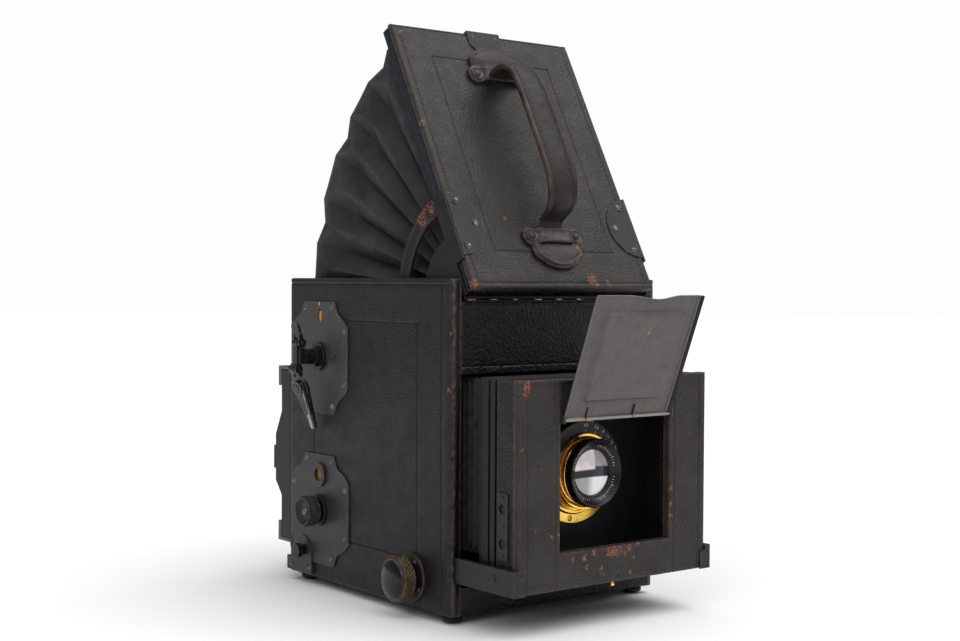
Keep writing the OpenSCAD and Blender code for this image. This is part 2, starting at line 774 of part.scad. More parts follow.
module tension_knob() {
  color("#3f4043") place() translate([0, tens_y, tens_z]) rotate([0, -90, 0]) difference() {
    rotate_extrude() polygon([[0, half_w + 1.2], [10.6, half_w + 1.2], [10.6, half_w + 3],
      [6, half_w + 3], [6, half_w + 5], [tension_r, half_w + 5.6], [tension_r, half_w + 13],
      [tension_r - 1, half_w + 14], [tension_r - 2, half_w + 14], [tension_r - 4, half_w + 12],
      [3, half_w + 11.6], [3, half_w + 13], [0, half_w + 13.4]]);
    cylinder(r = 3, h = half_w + 9);
  }
}
module tension_disc() {
  color("#b0904a") place() union() {
    rod_x([-91.4, -82], tens_y, tens_z, 3);
    rod_x([-82.4, -in_x - 0.2], tens_y, tens_z, 4);
    rod_x([-82.3, -80.9], tens_y, tens_z, 27.5);
  }
}
module release_button() {
  color("#5a5b5e") place() union() {
    rod_x([-half_w - 6, -in_x], rel_y, rel_z, release_r);
    rod_x([-half_w - 9, -half_w - 5.4], rel_y, rel_z, 4.8);
  }
}
// the mirror's own frame: pivot at the origin, -y down the mirror, +z out of the silvered face
module on_mirror() {
  translate([0, mir_y, mir_z]) rotate([45, 0, 0]) children();
}
module mirror_frame() {
  color("#3a3a3c") place() on_mirror() union() {
    difference() {
      box([-mir_x - 2, mir_x + 2], [-mir_len, -2], [-2.4, 0]);
      box([-mir_x + 8, mir_x - 8], [-mir_len + 8, -12], [-3, -1.2]);
    }
    rod_x([-67.8, -mir_x], 0, 0, 2);
    rod_x([mir_x - 1, mir_x + 4], 0, 0, 2.5);
    both_sides() box([mir_x - 1, mir_x + 2], [-4, 1], [-2.4, 1.2]);
  }
}
module mirror_glass() {
  color("#c9d3d8") place() on_mirror() box([-mir_x + 0.5, mir_x - 0.5], [-mir_len + 0.5, -5], [0, 1.6]);
}
module mirror_lever() {
  color("#4e5053") place() union() {
    rod_x([mir_x + 4, 88], mir_y, mir_z, 2.5);
    rod_x([83, 86], mir_y, mir_z, 6);
    translate([83.6, mir_y, mir_z]) rotate([90, 0, 90]) linear_extrude(2) rotate(-120) union() {
      translate([0, -3.5]) square([32, 7]);
      translate([32, 0]) circle(r = 5);
    }
    translate([85.5, mir_y + 32 * cos(120), mir_z - 32 * sin(120)]) rotate([0, 90, 0])
      cylinder(r = 3.6, h = 3.5);
  }
}

side_wall_left();
side_wall_right();
front_boards();
base_board();
rear_frame();
feet();
tripod_bush();
mirror_box();
ground_glass();
ground_glass_frame();
curtain_plate();
tension_plate();
release_plate();
plate_screws();
focus_flange();
hinge_body_leaf();
hinge_pin();
lens_bellows();
hood_bellows();
back_frame();
plate_holder();
shutter_curtain();
lid_panel();
lid_frame();
lid_plates();
lid_arms();
handle_strap();
handle_anchors();
hinge_lid_leaf();
front_panel();
front_box();
front_box_frame();
lens_board();
lens_flange();
lens_barrel();
lens_front_cell();
lens_glasses();
focus_rails();
focus_racks();
side_hole_plate();
flap_mount();
iris_ring();
lens_flap();
focus_knob();
focus_shaft();
winding_hub();
winding_gear();
key_wing_upper();
key_wing_lower();
roller_upper();
roller_lower();
tension_knob();
tension_disc();
release_button();
mirror_frame();
mirror_glass();
mirror_lever();
dark_slide();
back_lock_upper();
back_lock_lower();
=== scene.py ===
"""Studio view of a single-lens reflex box camera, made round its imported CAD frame.

Sizes are millimetres in two local frames: CASE (x from the middle, y from the box's front face,
z from the table) and LID (x from the middle, y along the lid from its hinge, z out through it).
"""

import json
import math

import bmesh
import bpy
from mathutils import Matrix, Vector, noise


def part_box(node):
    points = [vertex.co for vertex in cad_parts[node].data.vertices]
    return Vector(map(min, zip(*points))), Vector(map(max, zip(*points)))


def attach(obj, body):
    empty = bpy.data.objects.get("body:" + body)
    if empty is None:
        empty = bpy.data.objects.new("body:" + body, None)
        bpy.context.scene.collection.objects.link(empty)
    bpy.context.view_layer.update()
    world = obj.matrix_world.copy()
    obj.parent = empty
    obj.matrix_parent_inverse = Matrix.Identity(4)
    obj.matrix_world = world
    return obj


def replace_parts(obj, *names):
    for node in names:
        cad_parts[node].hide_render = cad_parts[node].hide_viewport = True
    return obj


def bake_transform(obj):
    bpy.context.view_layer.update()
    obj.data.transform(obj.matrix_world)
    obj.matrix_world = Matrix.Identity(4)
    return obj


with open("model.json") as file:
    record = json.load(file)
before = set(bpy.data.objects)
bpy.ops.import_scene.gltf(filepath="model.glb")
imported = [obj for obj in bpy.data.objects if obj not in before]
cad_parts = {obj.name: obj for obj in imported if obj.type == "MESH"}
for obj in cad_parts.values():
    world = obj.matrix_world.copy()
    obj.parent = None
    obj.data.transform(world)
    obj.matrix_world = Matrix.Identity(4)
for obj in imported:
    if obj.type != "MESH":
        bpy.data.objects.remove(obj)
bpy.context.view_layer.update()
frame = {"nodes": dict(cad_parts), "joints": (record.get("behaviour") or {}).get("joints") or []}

MM = 0.001
JOINTS = {joint["name"]: joint for joint in frame["joints"]}
LID_DEG = -JOINTS["lid_hinge"]["range_deg"][0]
HINGE = Vector(JOINTS["lid_hinge"]["pos_m"])
MID_X = (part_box("side_wall_left")[0].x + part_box("side_wall_right")[1].x) / 2
CASE = Matrix.Translation((MID_X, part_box("side_wall_left")[0].y, 0))
LID = Matrix.Translation((MID_X, HINGE.y, HINGE.z)) @ Matrix.Rotation(math.radians(LID_DEG), 4, "X")
LENS_TURN = Vector(JOINTS["aperture_turn"]["pos_m"])
WING_LEAN = -19.0  # degrees, how far the key's lower wing leans in from upright at rest


def span(node, matrix=CASE):
    """Lowest and highest corner of a CAD node in a local frame, in millimetres."""
    inverse = matrix.inverted()
    points = [inverse @ vertex.co / MM for vertex in frame["nodes"][node].data.vertices]
    low = Vector(min(p[i] for p in points) for i in range(3))
    high = Vector(max(p[i] for p in points) for i in range(3))
    return low, high


def local(point, matrix=CASE):
    """A point of the row frame, in metres, in a local frame, in millimetres."""
    return matrix.inverted() @ Vector(point) / MM


# ---- materials ---------------------------------------------------------------------------------
class Surface:
    """One node material. Sizes of textures are in millimetres of the piece's own frame."""

    def __init__(self, name, **sockets):
        self.material = bpy.data.materials.new(name)
        self.material.use_nodes = True
        self.tree = self.material.node_tree
        self.shader = self.tree.nodes["Principled BSDF"]
        self.place = self.node("TexCoord").outputs["Object"]
        for socket, value in sockets.items():
            self.set(socket.replace("_", " "), value)

    def node(self, kind, inputs=(), **settings):
        made = self.tree.nodes.new("ShaderNode" + kind)
        for key, value in settings.items():
            setattr(made, key, value)
        for key, value in dict(inputs).items():
            self.feed(made.inputs[key], value)
        return made

    def feed(self, socket, value):
        if isinstance(value, bpy.types.NodeSocket):
            self.tree.links.new(value, socket)
        else:
            socket.default_value = value

    def set(self, socket, value):
        if isinstance(value, tuple) and len(value) == 3:
            value = (*value, 1)
        self.feed(self.shader.inputs[socket], value)

    def stretched(self, stretch):
        return self.node("Mapping", {"Vector": self.place, "Scale": stretch}).outputs["Vector"]

    def noise(self, size, detail=3.0, stretch=None):
        where = self.stretched(stretch) if stretch else self.place
        inputs = {"Vector": where, "Scale": 1000 / size, "Detail": detail}
        return self.node("TexNoise", inputs).outputs["Fac"]

    def cells(self, size, feature="SMOOTH_F1"):
        inputs = {"Vector": self.place, "Scale": 1000 / size}
        return self.node("TexVoronoi", inputs, feature=feature).outputs["Distance"]

    def edges(self, width):
        """About 1 along outer edges and 0 on flat faces."""
        made = self.node("AmbientOcclusion", {"Distance": width * MM}, inside=True, samples=6)
        return self.ranged(made.outputs["AO"], 0.62, 0.9, 1, 0)

    def ridges(self, low=0.51, high=0.57):
        """About 1 along the outward folds of a subdivided piece."""
        return self.ranged(self.node("NewGeometry").outputs["Pointiness"], low, high)

    def math(self, operation, first, second=0.0):
        made = self.node("Math", operation=operation)
        self.feed(made.inputs[0], first)
        self.feed(made.inputs[1], second)
        return made.outputs[0]

    def ranged(self, value, low, high, to_low=0.0, to_high=1.0):
        inputs = {"Value": value, "From Min": low, "From Max": high, "To Min": to_low, "To Max": to_high}
        return self.node("MapRange", inputs).outputs["Result"]

    def mix(self, factor, first, second):
        made = self.node("Mix", data_type="RGBA")
        for index, value in ((0, factor), (6, first), (7, second)):
            if isinstance(value, tuple):
                value = (*value, 1)
            self.feed(made.inputs[index], value)
        return made.outputs[2]

    def bump(self, height, strength, depth, under=None):
        inputs = {"Height": height, "Strength": strength, "Distance": depth * MM}
        if under:
            inputs["Normal"] = under
        return self.node("Bump", inputs).outputs["Normal"]

    def spots(self, points, ragged=3.0):
        """1 inside round spots with ragged borders. Each point is (x, y, z, radius)."""
        shift = self.node("TexNoise", {"Vector": self.place, "Scale": 420.0, "Detail": 4.0})
        offset = self.node("VectorMath", operation="MULTIPLY_ADD")
        self.feed(offset.inputs[0], shift.outputs["Color"])
        offset.inputs[1].default_value = (ragged * MM * 2,) * 3
        self.feed(offset.inputs[2], self.place)
        total = 0.0
        for x, y, z, radius in points:
            gap = self.node("VectorMath", operation="DISTANCE")
            self.feed(gap.inputs[0], offset.outputs["Vector"])
            gap.inputs[1].default_value = (x * MM + ragged * MM, y * MM + ragged * MM, z * MM + ragged * MM)
            spot = self.ranged(gap.outputs["Value"], radius * MM * 1.1, radius * MM * 0.75, 0, 1)
            total = self.math("MAXIMUM", spot, total)
        broken = self.ranged(self.noise(1.1, 3), 0.46, 0.58)
        return self.math("MULTIPLY", total, broken)


def leather(name, colour, worn, grain=1.25, roughness=0.44, scuffs=(), rub=0.75, relief=0.45, gloss=0.25):
    """Pebbled leather, lighter and smoother on its edges, with scuffs down to the orange hide."""
    made = Surface(name, Specular_IOR_Level=gloss)
    pebble = made.cells(grain)
    fine = made.noise(0.45, 2)
    patches = made.noise(26, 4)
    dark = tuple(c * 0.72 for c in colour)
    light = tuple(min(1, c * 1.35) for c in colour)
    base = made.mix(made.ranged(patches, 0.35, 0.68), dark, light)
    base = made.mix(made.ranged(pebble, 0.05, 0.5, 0.5, 0), base, tuple(c * 1.8 for c in colour))
    lightened = made.math("MULTIPLY", made.edges(2.0), made.ranged(made.noise(4, 5), 0.3, 0.66))
    lightened = made.math("MULTIPLY", lightened, rub)
    base = made.mix(lightened, base, worn)
    if scuffs:
        base = made.mix(made.spots(scuffs), base, (0.3, 0.1, 0.042))
    made.set("Base Color", base)
    rough = made.ranged(made.noise(9, 3), 0.3, 0.7, roughness - 0.07, roughness + 0.08)
    made.set("Roughness", made.mix(lightened, rough, made.ranged(fine, 0, 1, 0.34, 0.4)))
    coarse = made.bump(made.noise(8, 3), 0.25, 0.5)
    grainy = made.bump(pebble, 1.0, relief, coarse)
    made.set("Normal", made.bump(fine, 0.4, 0.08, grainy))
    return made.material


def metal(name, colour, bright, roughness=0.38, metallic=0.85, wear=0.6, edge=0.4):
    """Blackened or plain metal with patches, fine scratches and edges rubbed bright."""
    made = Surface(name, Metallic=metallic)
    patches = made.noise(9, 5)
    lightened = made.math("MULTIPLY", made.edges(edge), made.ranged(made.noise(3.5, 4), 0.34, 0.66, 0, wear))
    base = made.mix(made.ranged(patches, 0.3, 0.7), tuple(c * 0.75 for c in colour), tuple(c * 1.3 for c in colour))
    made.set("Base Color", made.mix(lightened, base, bright))
    scratch = made.noise(1.6, 3, (1, 12, 1))
    rough = made.ranged(scratch, 0.3, 0.7, roughness - 0.08, roughness + 0.12)
    made.set("Roughness", made.math("SUBTRACT", rough, made.math("MULTIPLY", lightened, 0.1)))
    pitted = made.bump(made.noise(1.1, 4), 0.18, 0.08)
    made.set("Normal", made.bump(scratch, 0.1, 0.04, pitted))
    return made.material


def wood(name, colour, worn, roughness=0.45, along="y"):
    """Blackened wood: fine grain along one axis, with brown showing on the edges."""
    made = Surface(name, Specular_IOR_Level=0.26)
    stretch = {"x": (0.12, 1, 1), "y": (1, 0.12, 1), "z": (1, 1, 0.12)}[along]
    grain = made.noise(1.4, 4, stretch)
    base = made.mix(made.ranged(grain, 0.3, 0.7), tuple(c * 0.7 for c in colour), tuple(c * 1.5 for c in colour))
    lightened = made.math("MULTIPLY", made.edges(1.2), made.ranged(made.noise(5, 4), 0.42, 0.66, 0, 0.7))
    made.set("Base Color", made.mix(lightened, base, worn))
    made.set("Roughness", made.ranged(grain, 0.3, 0.7, roughness - 0.06, roughness + 0.1))
    made.set("Normal", made.bump(grain, 0.3, 0.15))
    return made.material


def cloth(name, colour, thread=0.55, sheen=0.0):
    """Rubbered cloth: a fine weave, with painted highlights along the outward folds and painted shade in the fold
    valleys.
    """
    made = Surface(name, Sheen_Weight=sheen, Sheen_Roughness=0.5, Specular_IOR_Level=0.16)
    rows = made.node("TexWave", {"Vector": made.place, "Scale": 160 / thread, "Distortion": 0.6},
                     bands_direction="X").outputs["Fac"]
    lines = made.node("TexWave", {"Vector": made.place, "Scale": 160 / thread, "Distortion": 0.6},
                      bands_direction="Z").outputs["Fac"]
    weave = made.math("MULTIPLY", rows, lines)
    # painted highlight: the colour is lightened along the outward folds
    lightened = made.math("MULTIPLY", made.ridges(), made.ranged(made.noise(6, 4), 0.3, 0.6, 0.1, 0.8))
    patches = made.ranged(made.noise(18, 5), 0.3, 0.7)
    base = made.mix(patches, tuple(c * 0.72 for c in colour), tuple(c * 1.3 for c in colour))
    # painted shade: the colour is darkened in the fold valleys
    deep = made.ridges(0.5, 0.44)
    base = made.mix(made.math("MULTIPLY", deep, 0.9), base, tuple(c * 0.15 for c in colour))
    made.set("Base Color", made.mix(lightened, base, tuple(min(1, c * 3.0) for c in colour)))
    made.set("Roughness", made.ranged(made.noise(4, 3), 0.3, 0.7, 0.55, 0.72))
    soft = made.bump(made.noise(10, 4), 0.35, 0.7)
    made.set("Normal", made.bump(weave, 0.25, 0.08, soft))
    return made.material


def lacquer(name, colour, roughness=0.24):
    made = Surface(name, Specular_IOR_Level=0.3)
    dust = made.ranged(made.noise(0.8, 4), 0.55, 0.75)
    lightened = made.math("MULTIPLY", made.edges(0.5), made.ranged(made.noise(2.5, 4), 0.42, 0.66, 0, 0.5))
    base = made.mix(dust, colour, tuple(c * 1.5 for c in colour))
    made.set("Base Color", made.mix(lightened, base, (0.14, 0.12, 0.1)))
    made.set("Roughness", made.ranged(made.noise(3, 4), 0.3, 0.7, roughness - 0.05, roughness + 0.1))
    made.set("Normal", made.bump(made.noise(2.2, 3), 0.08, 0.06))
    return made.material


def brass(name, colour, roughness=0.2, stain=(0.32, 0.19, 0.06)):
    """Turned brass under old lacquer, with a few brown stains."""
    made = Surface(name, Metallic=1.0)
    stained = made.ranged(made.noise(9, 4), 0.5, 0.85, 0, 0.3)
    made.set("Base Color", made.mix(stained, colour, stain))
    made.set("Roughness", made.ranged(made.noise(6, 3), 0.3, 0.7, roughness - 0.04, roughness + 0.06))
    return made.material


def mirror_silver():
    made = Surface("mirror_silver", Metallic=1.0)
    haze = made.ranged(made.noise(14, 5), 0.45, 0.75)
    made.set("Base Color", made.mix(haze, (0.82, 0.84, 0.85), (0.6, 0.6, 0.58)))
    made.set("Roughness", made.ranged(made.noise(5, 4), 0.4, 0.8, 0.03, 0.16))
    return made.material


def ground_glass():
    made = Surface("glass_ground", Roughness=0.62, IOR=1.5, Transmission_Weight=0.45)
    frost = made.noise(0.35, 2)
    made.set("Base Color", made.mix(made.ranged(frost, 0.3, 0.7), (0.62, 0.66, 0.64), (0.78, 0.81, 0.79)))
    made.set("Normal", made.bump(frost, 0.3, 0.05))
    return made.material


FINISH = {
    "leather_black": leather("leather_black", (0.0125, 0.011, 0.0125), (0.11, 0.08, 0.06)),
    # a lighter copy of the leather for the lid: painted light on the up-facing lid
    "leather_lid": leather("leather_lid", (0.036, 0.033, 0.031), (0.12, 0.085, 0.06)),
    "leather_handle": leather("leather_handle", (0.046, 0.039, 0.036), (0.16, 0.085, 0.065), 1.6),
    "wood_ebonised": wood("wood_ebonised", (0.0095, 0.009, 0.0095), (0.05, 0.04, 0.033)),
    "wood_inner": wood("wood_inner", (0.012, 0.011, 0.011), (0.04, 0.03, 0.025), 0.6),
    "metal_blackened": metal("metal_blackened", (0.045, 0.045, 0.047), (0.2, 0.19, 0.18), 0.45, 0.5),
    "metal_key": metal("metal_key", (0.022, 0.022, 0.023), (0.34, 0.32, 0.3), 0.34, 0.7, 1.0, 0.3),
    "metal_screws": metal("metal_screws", (0.1, 0.1, 0.102), (0.5, 0.49, 0.47), 0.3, 0.75),
    "brass_lens": brass("brass_lens", (1.0, 0.62, 0.12), 0.24),
    "brass_dark": metal("brass_dark", (0.12, 0.088, 0.05), (0.5, 0.38, 0.2), 0.4, 0.9, 0.75),
    "lacquer_black": lacquer("lacquer_black", (0.006, 0.006, 0.007)),
    "glass_lens": lacquer("glass_lens", (0.1, 0.1, 0.11), 0.08),
    "glass_ground": ground_glass(),
    "mirror_silver": mirror_silver(),
    "cloth_hood": cloth("cloth_hood", (0.031, 0.0295, 0.032)),
    "cloth_bellows": cloth("cloth_bellows", (0.016, 0.015, 0.016)),
    "cloth_curtain": cloth("cloth_curtain", (0.012, 0.012, 0.012), 0.4),
    "flap_grey": metal("flap_grey", (0.16, 0.15, 0.145), (0.34, 0.32, 0.3), 0.42, 0.25, 0.5),
    "wood_feet": lacquer("wood_feet", (0.012, 0.011, 0.011), 0.35),
}


BLUE_BLACK = lacquer("lacquer_blue_black", (0.008, 0.011, 0.017), 0.3)


# ---- making pieces -----------------------------------------------------------------------------
def install(name, mesh, body, slot, matrix=CASE, look=None):
    piece = bpy.data.objects.new(name, mesh)
    bpy.context.scene.collection.objects.link(piece)
    piece.matrix_world = matrix
    mesh.materials.clear()
    mesh.materials.append(look or FINISH[slot])
    if body:
        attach(piece, body)
    return piece


def shade(mesh, degrees):
    mesh.shade_smooth()
    mesh.set_sharp_from_angle(angle=math.radians(degrees))


def finished_mesh(name, work, degrees=35):
    """A mesh from a bmesh, with doubles merged, loose edges gone and normals facing out."""
    bmesh.ops.remove_doubles(work, verts=work.verts, dist=2e-6)
    bmesh.ops.delete(work, geom=[e for e in work.edges if e.is_wire], context="EDGES")
    bmesh.ops.recalc_face_normals(work, faces=work.faces)
    if work.calc_volume(signed=True) < 0:
        bmesh.ops.reverse_faces(work, faces=work.faces)
    mesh = bpy.data.meshes.new(name)
    work.to_mesh(mesh)
    work.free()
    shade(mesh, degrees)
    return mesh


def make(name, verts, faces, body, slot, matrix=CASE, look=None, degrees=35):
    """A piece from points in millimetres."""
    work = bmesh.new()
    made = [work.verts.new(Vector(v) * MM) for v in verts]
    for face in faces:
        work.faces.new([made[i] for i in face])
    return install(name, finished_mesh(name, work, degrees), body, slot, matrix, look)


def sharp_edges(work, degrees):
    limit = math.radians(degrees)
    return [e for e in work.edges if len(e.link_faces) == 2 and e.calc_face_angle(0) > limit]


def rounded(node, body, slot, bevel=0.4, matrix=CASE, look=None, segments=2, degrees=30):
    """A CAD node with its edges eased, in place of the node itself."""
    work = bmesh.new()
    work.from_mesh(frame["nodes"][node].data)
    bmesh.ops.transform(work, matrix=matrix.inverted(), verts=work.verts)
    bmesh.ops.remove_doubles(work, verts=work.verts, dist=2e-6)
    bmesh.ops.dissolve_limit(work, angle_limit=math.radians(1), verts=work.verts, edges=work.edges)
    bmesh.ops.bevel(work, geom=sharp_edges(work, degrees), offset=bevel * MM, segments=segments,
                    profile=0.6, affect="EDGES", clamp_overlap=True)
    mesh = finished_mesh(node + "_eased", work)
    piece = install(node + "_eased", mesh, None, slot, matrix, look)
    flatten(piece)
    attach(piece, body)
    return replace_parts(piece, node)


def flatten(piece):
    """Keeps wide faces looking flat beside their eased edges."""
    changer = piece.modifiers.new("flat", "WEIGHTED_NORMAL")
    changer.keep_sharp = True
    graph = bpy.context.evaluated_depsgraph_get()
    mesh = bpy.data.meshes.new_from_object(piece.evaluated_get(graph))
    piece.modifiers.clear()
    piece.data = mesh


def stations(length, step, radius, marks):
    """Where a slab's grid lines run: even steps, the rounded edges, and close to each mark."""
    count = math.ceil(length / step)
    found = [i * length / count for i in range(count + 1)]
    for share in (0.1, 0.3, 0.6, 1.0):
        found += [radius * share, length - radius * share]
    for mark in marks:
        found += [mark + d for d in (-1.1, -0.7, -0.35, 0, 0.35, 0.7, 1.1)]
    kept = [0.0]
    for value in sorted(found):
        if value - kept[-1] > 0.13 and value < length - 0.05:
            kept.append(value)
    return kept + [length]


def to_segment(u, v, line):
    u0, v0, u1, v1 = line
    return math.hypot(max(u0 - u, 0, u - u1), max(v0 - v, 0, v - v1))


def slab(name, body, slot, corner, u_axis, v_axis, size, thick, radius=1.3, lines=(), hole=None,
         wobble=0.1, matrix=CASE, look=None, step=4.0, groove=0.4, pockets=()):
    """A covered board: a rounded face with pressed lines, an optional window, sides and a back.

    corner is a point of its back face, u_axis and v_axis lie along it, and it grows towards their
    cross product. lines are (u0, v0, u1, v1) with u0 <= u1 and v0 <= v1, and so is the hole.
    pockets are rough round openings (u, v, radius) that a fitting covers.
    """
    wide, tall = size
    u_marks = [line[i] for line in lines for i in (0, 2)]
    v_marks = [line[i] for line in lines for i in (1, 3)]
    hole_u, hole_v = [], []
    if hole:
        hole_u = [hole[0], hole[2]]
        hole_v = [hole[1], hole[3]]
    us = stations(wide, step, radius, u_marks + hole_u)
    vs = stations(tall, step, radius, v_marks + hole_v)

    def snapped(values, targets):
        for target in targets:
            nearest = min(range(len(values)), key=lambda i: abs(values[i] - target))
            values[nearest] = target
        return values

    us, vs = snapped(us, hole_u), snapped(vs, hole_v)

    def height(u, v):
        gap = min(u, wide - u, v, tall - v)
        if hole:
            gap = min(gap, to_segment(u, v, hole))
        drop = 0.0
        if gap < radius:
            drop = radius - math.sqrt(max(radius ** 2 - (radius - gap) ** 2, 0))
        for line in lines:
            near = to_segment(u, v, line) / 0.9
            if near < 1:
                drop += groove * (1 - near * near) ** 2
        wave = noise.noise(Vector((u, v, len(name) * 7.0)) / 16) * wobble * min(1, gap / 5)
        return thick - drop + wave

    origin, along, up = Vector(corner), Vector(u_axis), Vector(v_axis)
    out = along.cross(up)
    front = [[origin + along * u + up * v + out * height(u, v) for u in us] for v in vs]
    back = [[origin + along * u + up * v for u in us] for v in vs]
    row = len(us)
    verts = [p for line in front + back for p in line]
    base = row * len(vs)

    def open_cell(i, j):
        if not (0 <= i < len(us) - 1 and 0 <= j < len(vs) - 1):
            return True
        u, v = (us[i] + us[i + 1]) / 2, (vs[j] + vs[j + 1]) / 2
        if any(math.hypot(u - pu, v - pv) < radius for pu, pv, radius in pockets):
            return True
        return bool(hole) and hole[0] < u < hole[2] and hole[1] < v < hole[3]

    faces = []
    for j in range(len(vs) - 1):
        for i in range(row - 1):
            if open_cell(i, j):
                continue
            a, b, c, d = j * row + i, j * row + i + 1, (j + 1) * row + i + 1, (j + 1) * row + i
            faces += [(a, b, c, d), (base + d, base + c, base + b, base + a)]
            sides = (((i, j - 1), a, b), ((i + 1, j), b, c), ((i, j + 1), c, d), ((i - 1, j), d, a))
            for cell, first, last in sides:
                if open_cell(*cell):
                    faces.append((first, base + first, base + last, last))
    return make_used(name, verts, faces, body, slot, matrix, look)


def make_used(name, verts, faces, body, slot, matrix=CASE, look=None, degrees=35):
    """Like make, but leaves out points that no face uses."""
    used = sorted({i for face in faces for i in face})
    index = {old: new for new, old in enumerate(used)}
    kept = [verts[i] for i in used]
    moved = [tuple(index[i] for i in face) for face in faces]
    return make(name, kept, moved, body, slot, matrix, look, degrees)


def frame_rect(u0, v0, u1, v1):
    """The four sides of a pressed border."""
    return [(u0, v0, u1, v0), (u0, v1, u1, v1), (u0, v0, u0, v1), (u1, v0, u1, v1)]


def lathe(name, profile, body, slot, centre, axis, turns=96, ripple=None, look=None, closed=True,
          degrees=35, matrix=CASE):
    """A ring turned from (radius, along) points about an axis through centre.

    ripple(radius, along, angle) may change the radius, as a knurl does.
    """
    along = Vector(axis).normalized()
    across = along.orthogonal().normalized()
    other = along.cross(across)
    verts, faces = [], []
    rows = len(profile)
    for i in range(turns):
        angle = 2 * math.pi * i / turns
        out = across * math.cos(angle) + other * math.sin(angle)
        for radius, reach in profile:
            if ripple:
                radius = ripple(radius, reach, angle)
            verts.append(Vector(centre) + out * radius + along * reach)
    for i in range(turns):
        here, there = i * rows, (i + 1) % turns * rows
        for k in range(rows if closed else rows - 1):
            n = (k + 1) % rows
            faces.append((here + k, here + n, there + n, there + k))
    return make_flat_poles(name, verts, faces, body, slot, matrix, look, degrees)


def make_flat_poles(name, verts, faces, body, slot, matrix, look, degrees):
    """Like make, but lets points on the axis merge and drops the faces that vanish."""
    work = bmesh.new()
    made = [work.verts.new(v * MM) for v in verts]
    for face in faces:
        work.faces.new([made[i] for i in face])
    bmesh.ops.remove_doubles(work, verts=work.verts, dist=2e-6)
    bmesh.ops.dissolve_degenerate(work, dist=1e-7, edges=work.edges)
    return install(name, finished_mesh(name, work, degrees), body, slot, matrix, look)


def domed_screw(name, centre, axis, radius, turn, body, slot="metal_screws", matrix=CASE, dome=0.8):
    """A round-headed screw with a slot cut across it."""
    along = Vector(axis).normalized()
    across = along.orthogonal().normalized()
    across = Matrix.Rotation(math.radians(turn), 3, along) @ across
    other = along.cross(across)
    verts, faces = [], []
    rings, turns = 7, 24
    for k in range(rings):
        lean = math.pi / 2 * k / (rings - 1)
        ring = radius * math.cos(lean) if k < rings - 1 else 0.02
        rise = dome * math.sin(lean)
        for i in range(turns):
            angle = 2 * math.pi * i / turns
            x, y = ring * math.cos(angle), ring * math.sin(angle)
            cut = 0.45 * dome if abs(y) < radius * 0.17 else 0
            verts.append(Vector(centre) + across * x + other * y + along * max(rise - cut, 0))
    for k in range(rings - 1):
        for i in range(turns):
            n = (i + 1) % turns
            faces.append((k * turns + i, k * turns + n, (k + 1) * turns + n, (k + 1) * turns + i))
    faces.append(tuple((rings - 1) * turns + i for i in range(turns)))
    faces.append(tuple(reversed(range(turns))))
    return make(name, verts, faces, body, slot, matrix, degrees=40)


# ---- camera, lights and floor ------------------------------------------------------------------
def camera():
    """The view from the front left, a little above the lens."""
    data = bpy.data.cameras.new("view")
    data.sensor_width = 36.0
    data.lens = 55.66
    yaw, pitch, roll = (math.radians(a) for a in (37.84, 1.5, 0.31))
    ahead = Vector((math.sin(yaw) * math.cos(pitch), math.cos(yaw) * math.cos(pitch), -math.sin(pitch)))
    right = Vector((math.cos(yaw), -math.sin(yaw), 0))
    up = right.cross(ahead)
    turned_right = math.cos(roll) * right + math.sin(roll) * up
    turned_up = math.cos(roll) * up - math.sin(roll) * right
    eye = CASE @ (Vector((-598.5, -692.3, 202.2)) * MM)
    pose = Matrix((turned_right, turned_up, -ahead)).transposed().to_4x4()
    pose.translation = eye
    seen = bpy.data.objects.new("view", data)
    bpy.context.scene.collection.objects.link(seen)
    seen.matrix_world = pose
    bpy.context.scene.camera = seen


def sky_light(name, place, strength, degrees, colour=(1, 1, 1)):
    """A broad distant lamp shining from a direction."""
    data = bpy.data.lights.new(name, "SUN")
    data.energy = strength
    data.angle = math.radians(degrees)
    data.color = colour
    lamp = bpy.data.objects.new(name, data)
    bpy.context.scene.collection.objects.link(lamp)
    lamp.location = place
    lamp.rotation_mode = "QUATERNION"
    lamp.rotation_quaternion = Vector(place).to_track_quat("Z", "Y")


def area_light(name, place, target, size, power, colour=(1, 1, 1)):
    data = bpy.data.lights.new(name, "AREA")
    data.shape = "DISK"
    data.size = size
    data.energy = power
    data.color = colour
    lamp = bpy.data.objects.new(name, data)
    bpy.context.scene.collection.objects.link(lamp)
    lamp.location = place
    lamp.rotation_mode = "QUATERNION"
    lamp.rotation_quaternion = (Vector(place) - Vector(target)).to_track_quat("Z", "Y")


def studio():
    world = bpy.data.worlds.new("studio")
    world.use_nodes = True
    tree = world.node_tree
    room = tree.nodes["Background"]
    room.inputs["Color"].default_value = (1, 1, 1, 1)
    room.inputs["Strength"].default_value = 0.26
    backdrop = tree.nodes.new("ShaderNodeBackground")
    backdrop.inputs["Color"].default_value = (0.985, 0.983, 0.985, 1)
    seen = tree.nodes.new("ShaderNodeMixShader")
    path = tree.nodes.new("ShaderNodeLightPath")
    tree.links.new(path.outputs["Is Camera Ray"], seen.inputs[0])
    tree.links.new(room.outputs[0], seen.inputs[1])
    tree.links.new(backdrop.outputs[0], seen.inputs[2])
    tree.links.new(seen.outputs[0], tree.nodes["World Output"].inputs[0])
    bpy.context.scene.world = world
    bpy.context.scene.view_settings.view_transform = "Standard"
    sky_light("key", (0.8, -0.75, 1.6), 1.45, 60, (1, 0.985, 0.97))
    sky_light("top", (-0.1, -0.15, 1.0), 1.85, 100, (0.985, 0.99, 1))
    area_light("front_left", (-1.6, -0.9, 0.9), (0, 0, 0.15), 0.9, 4)


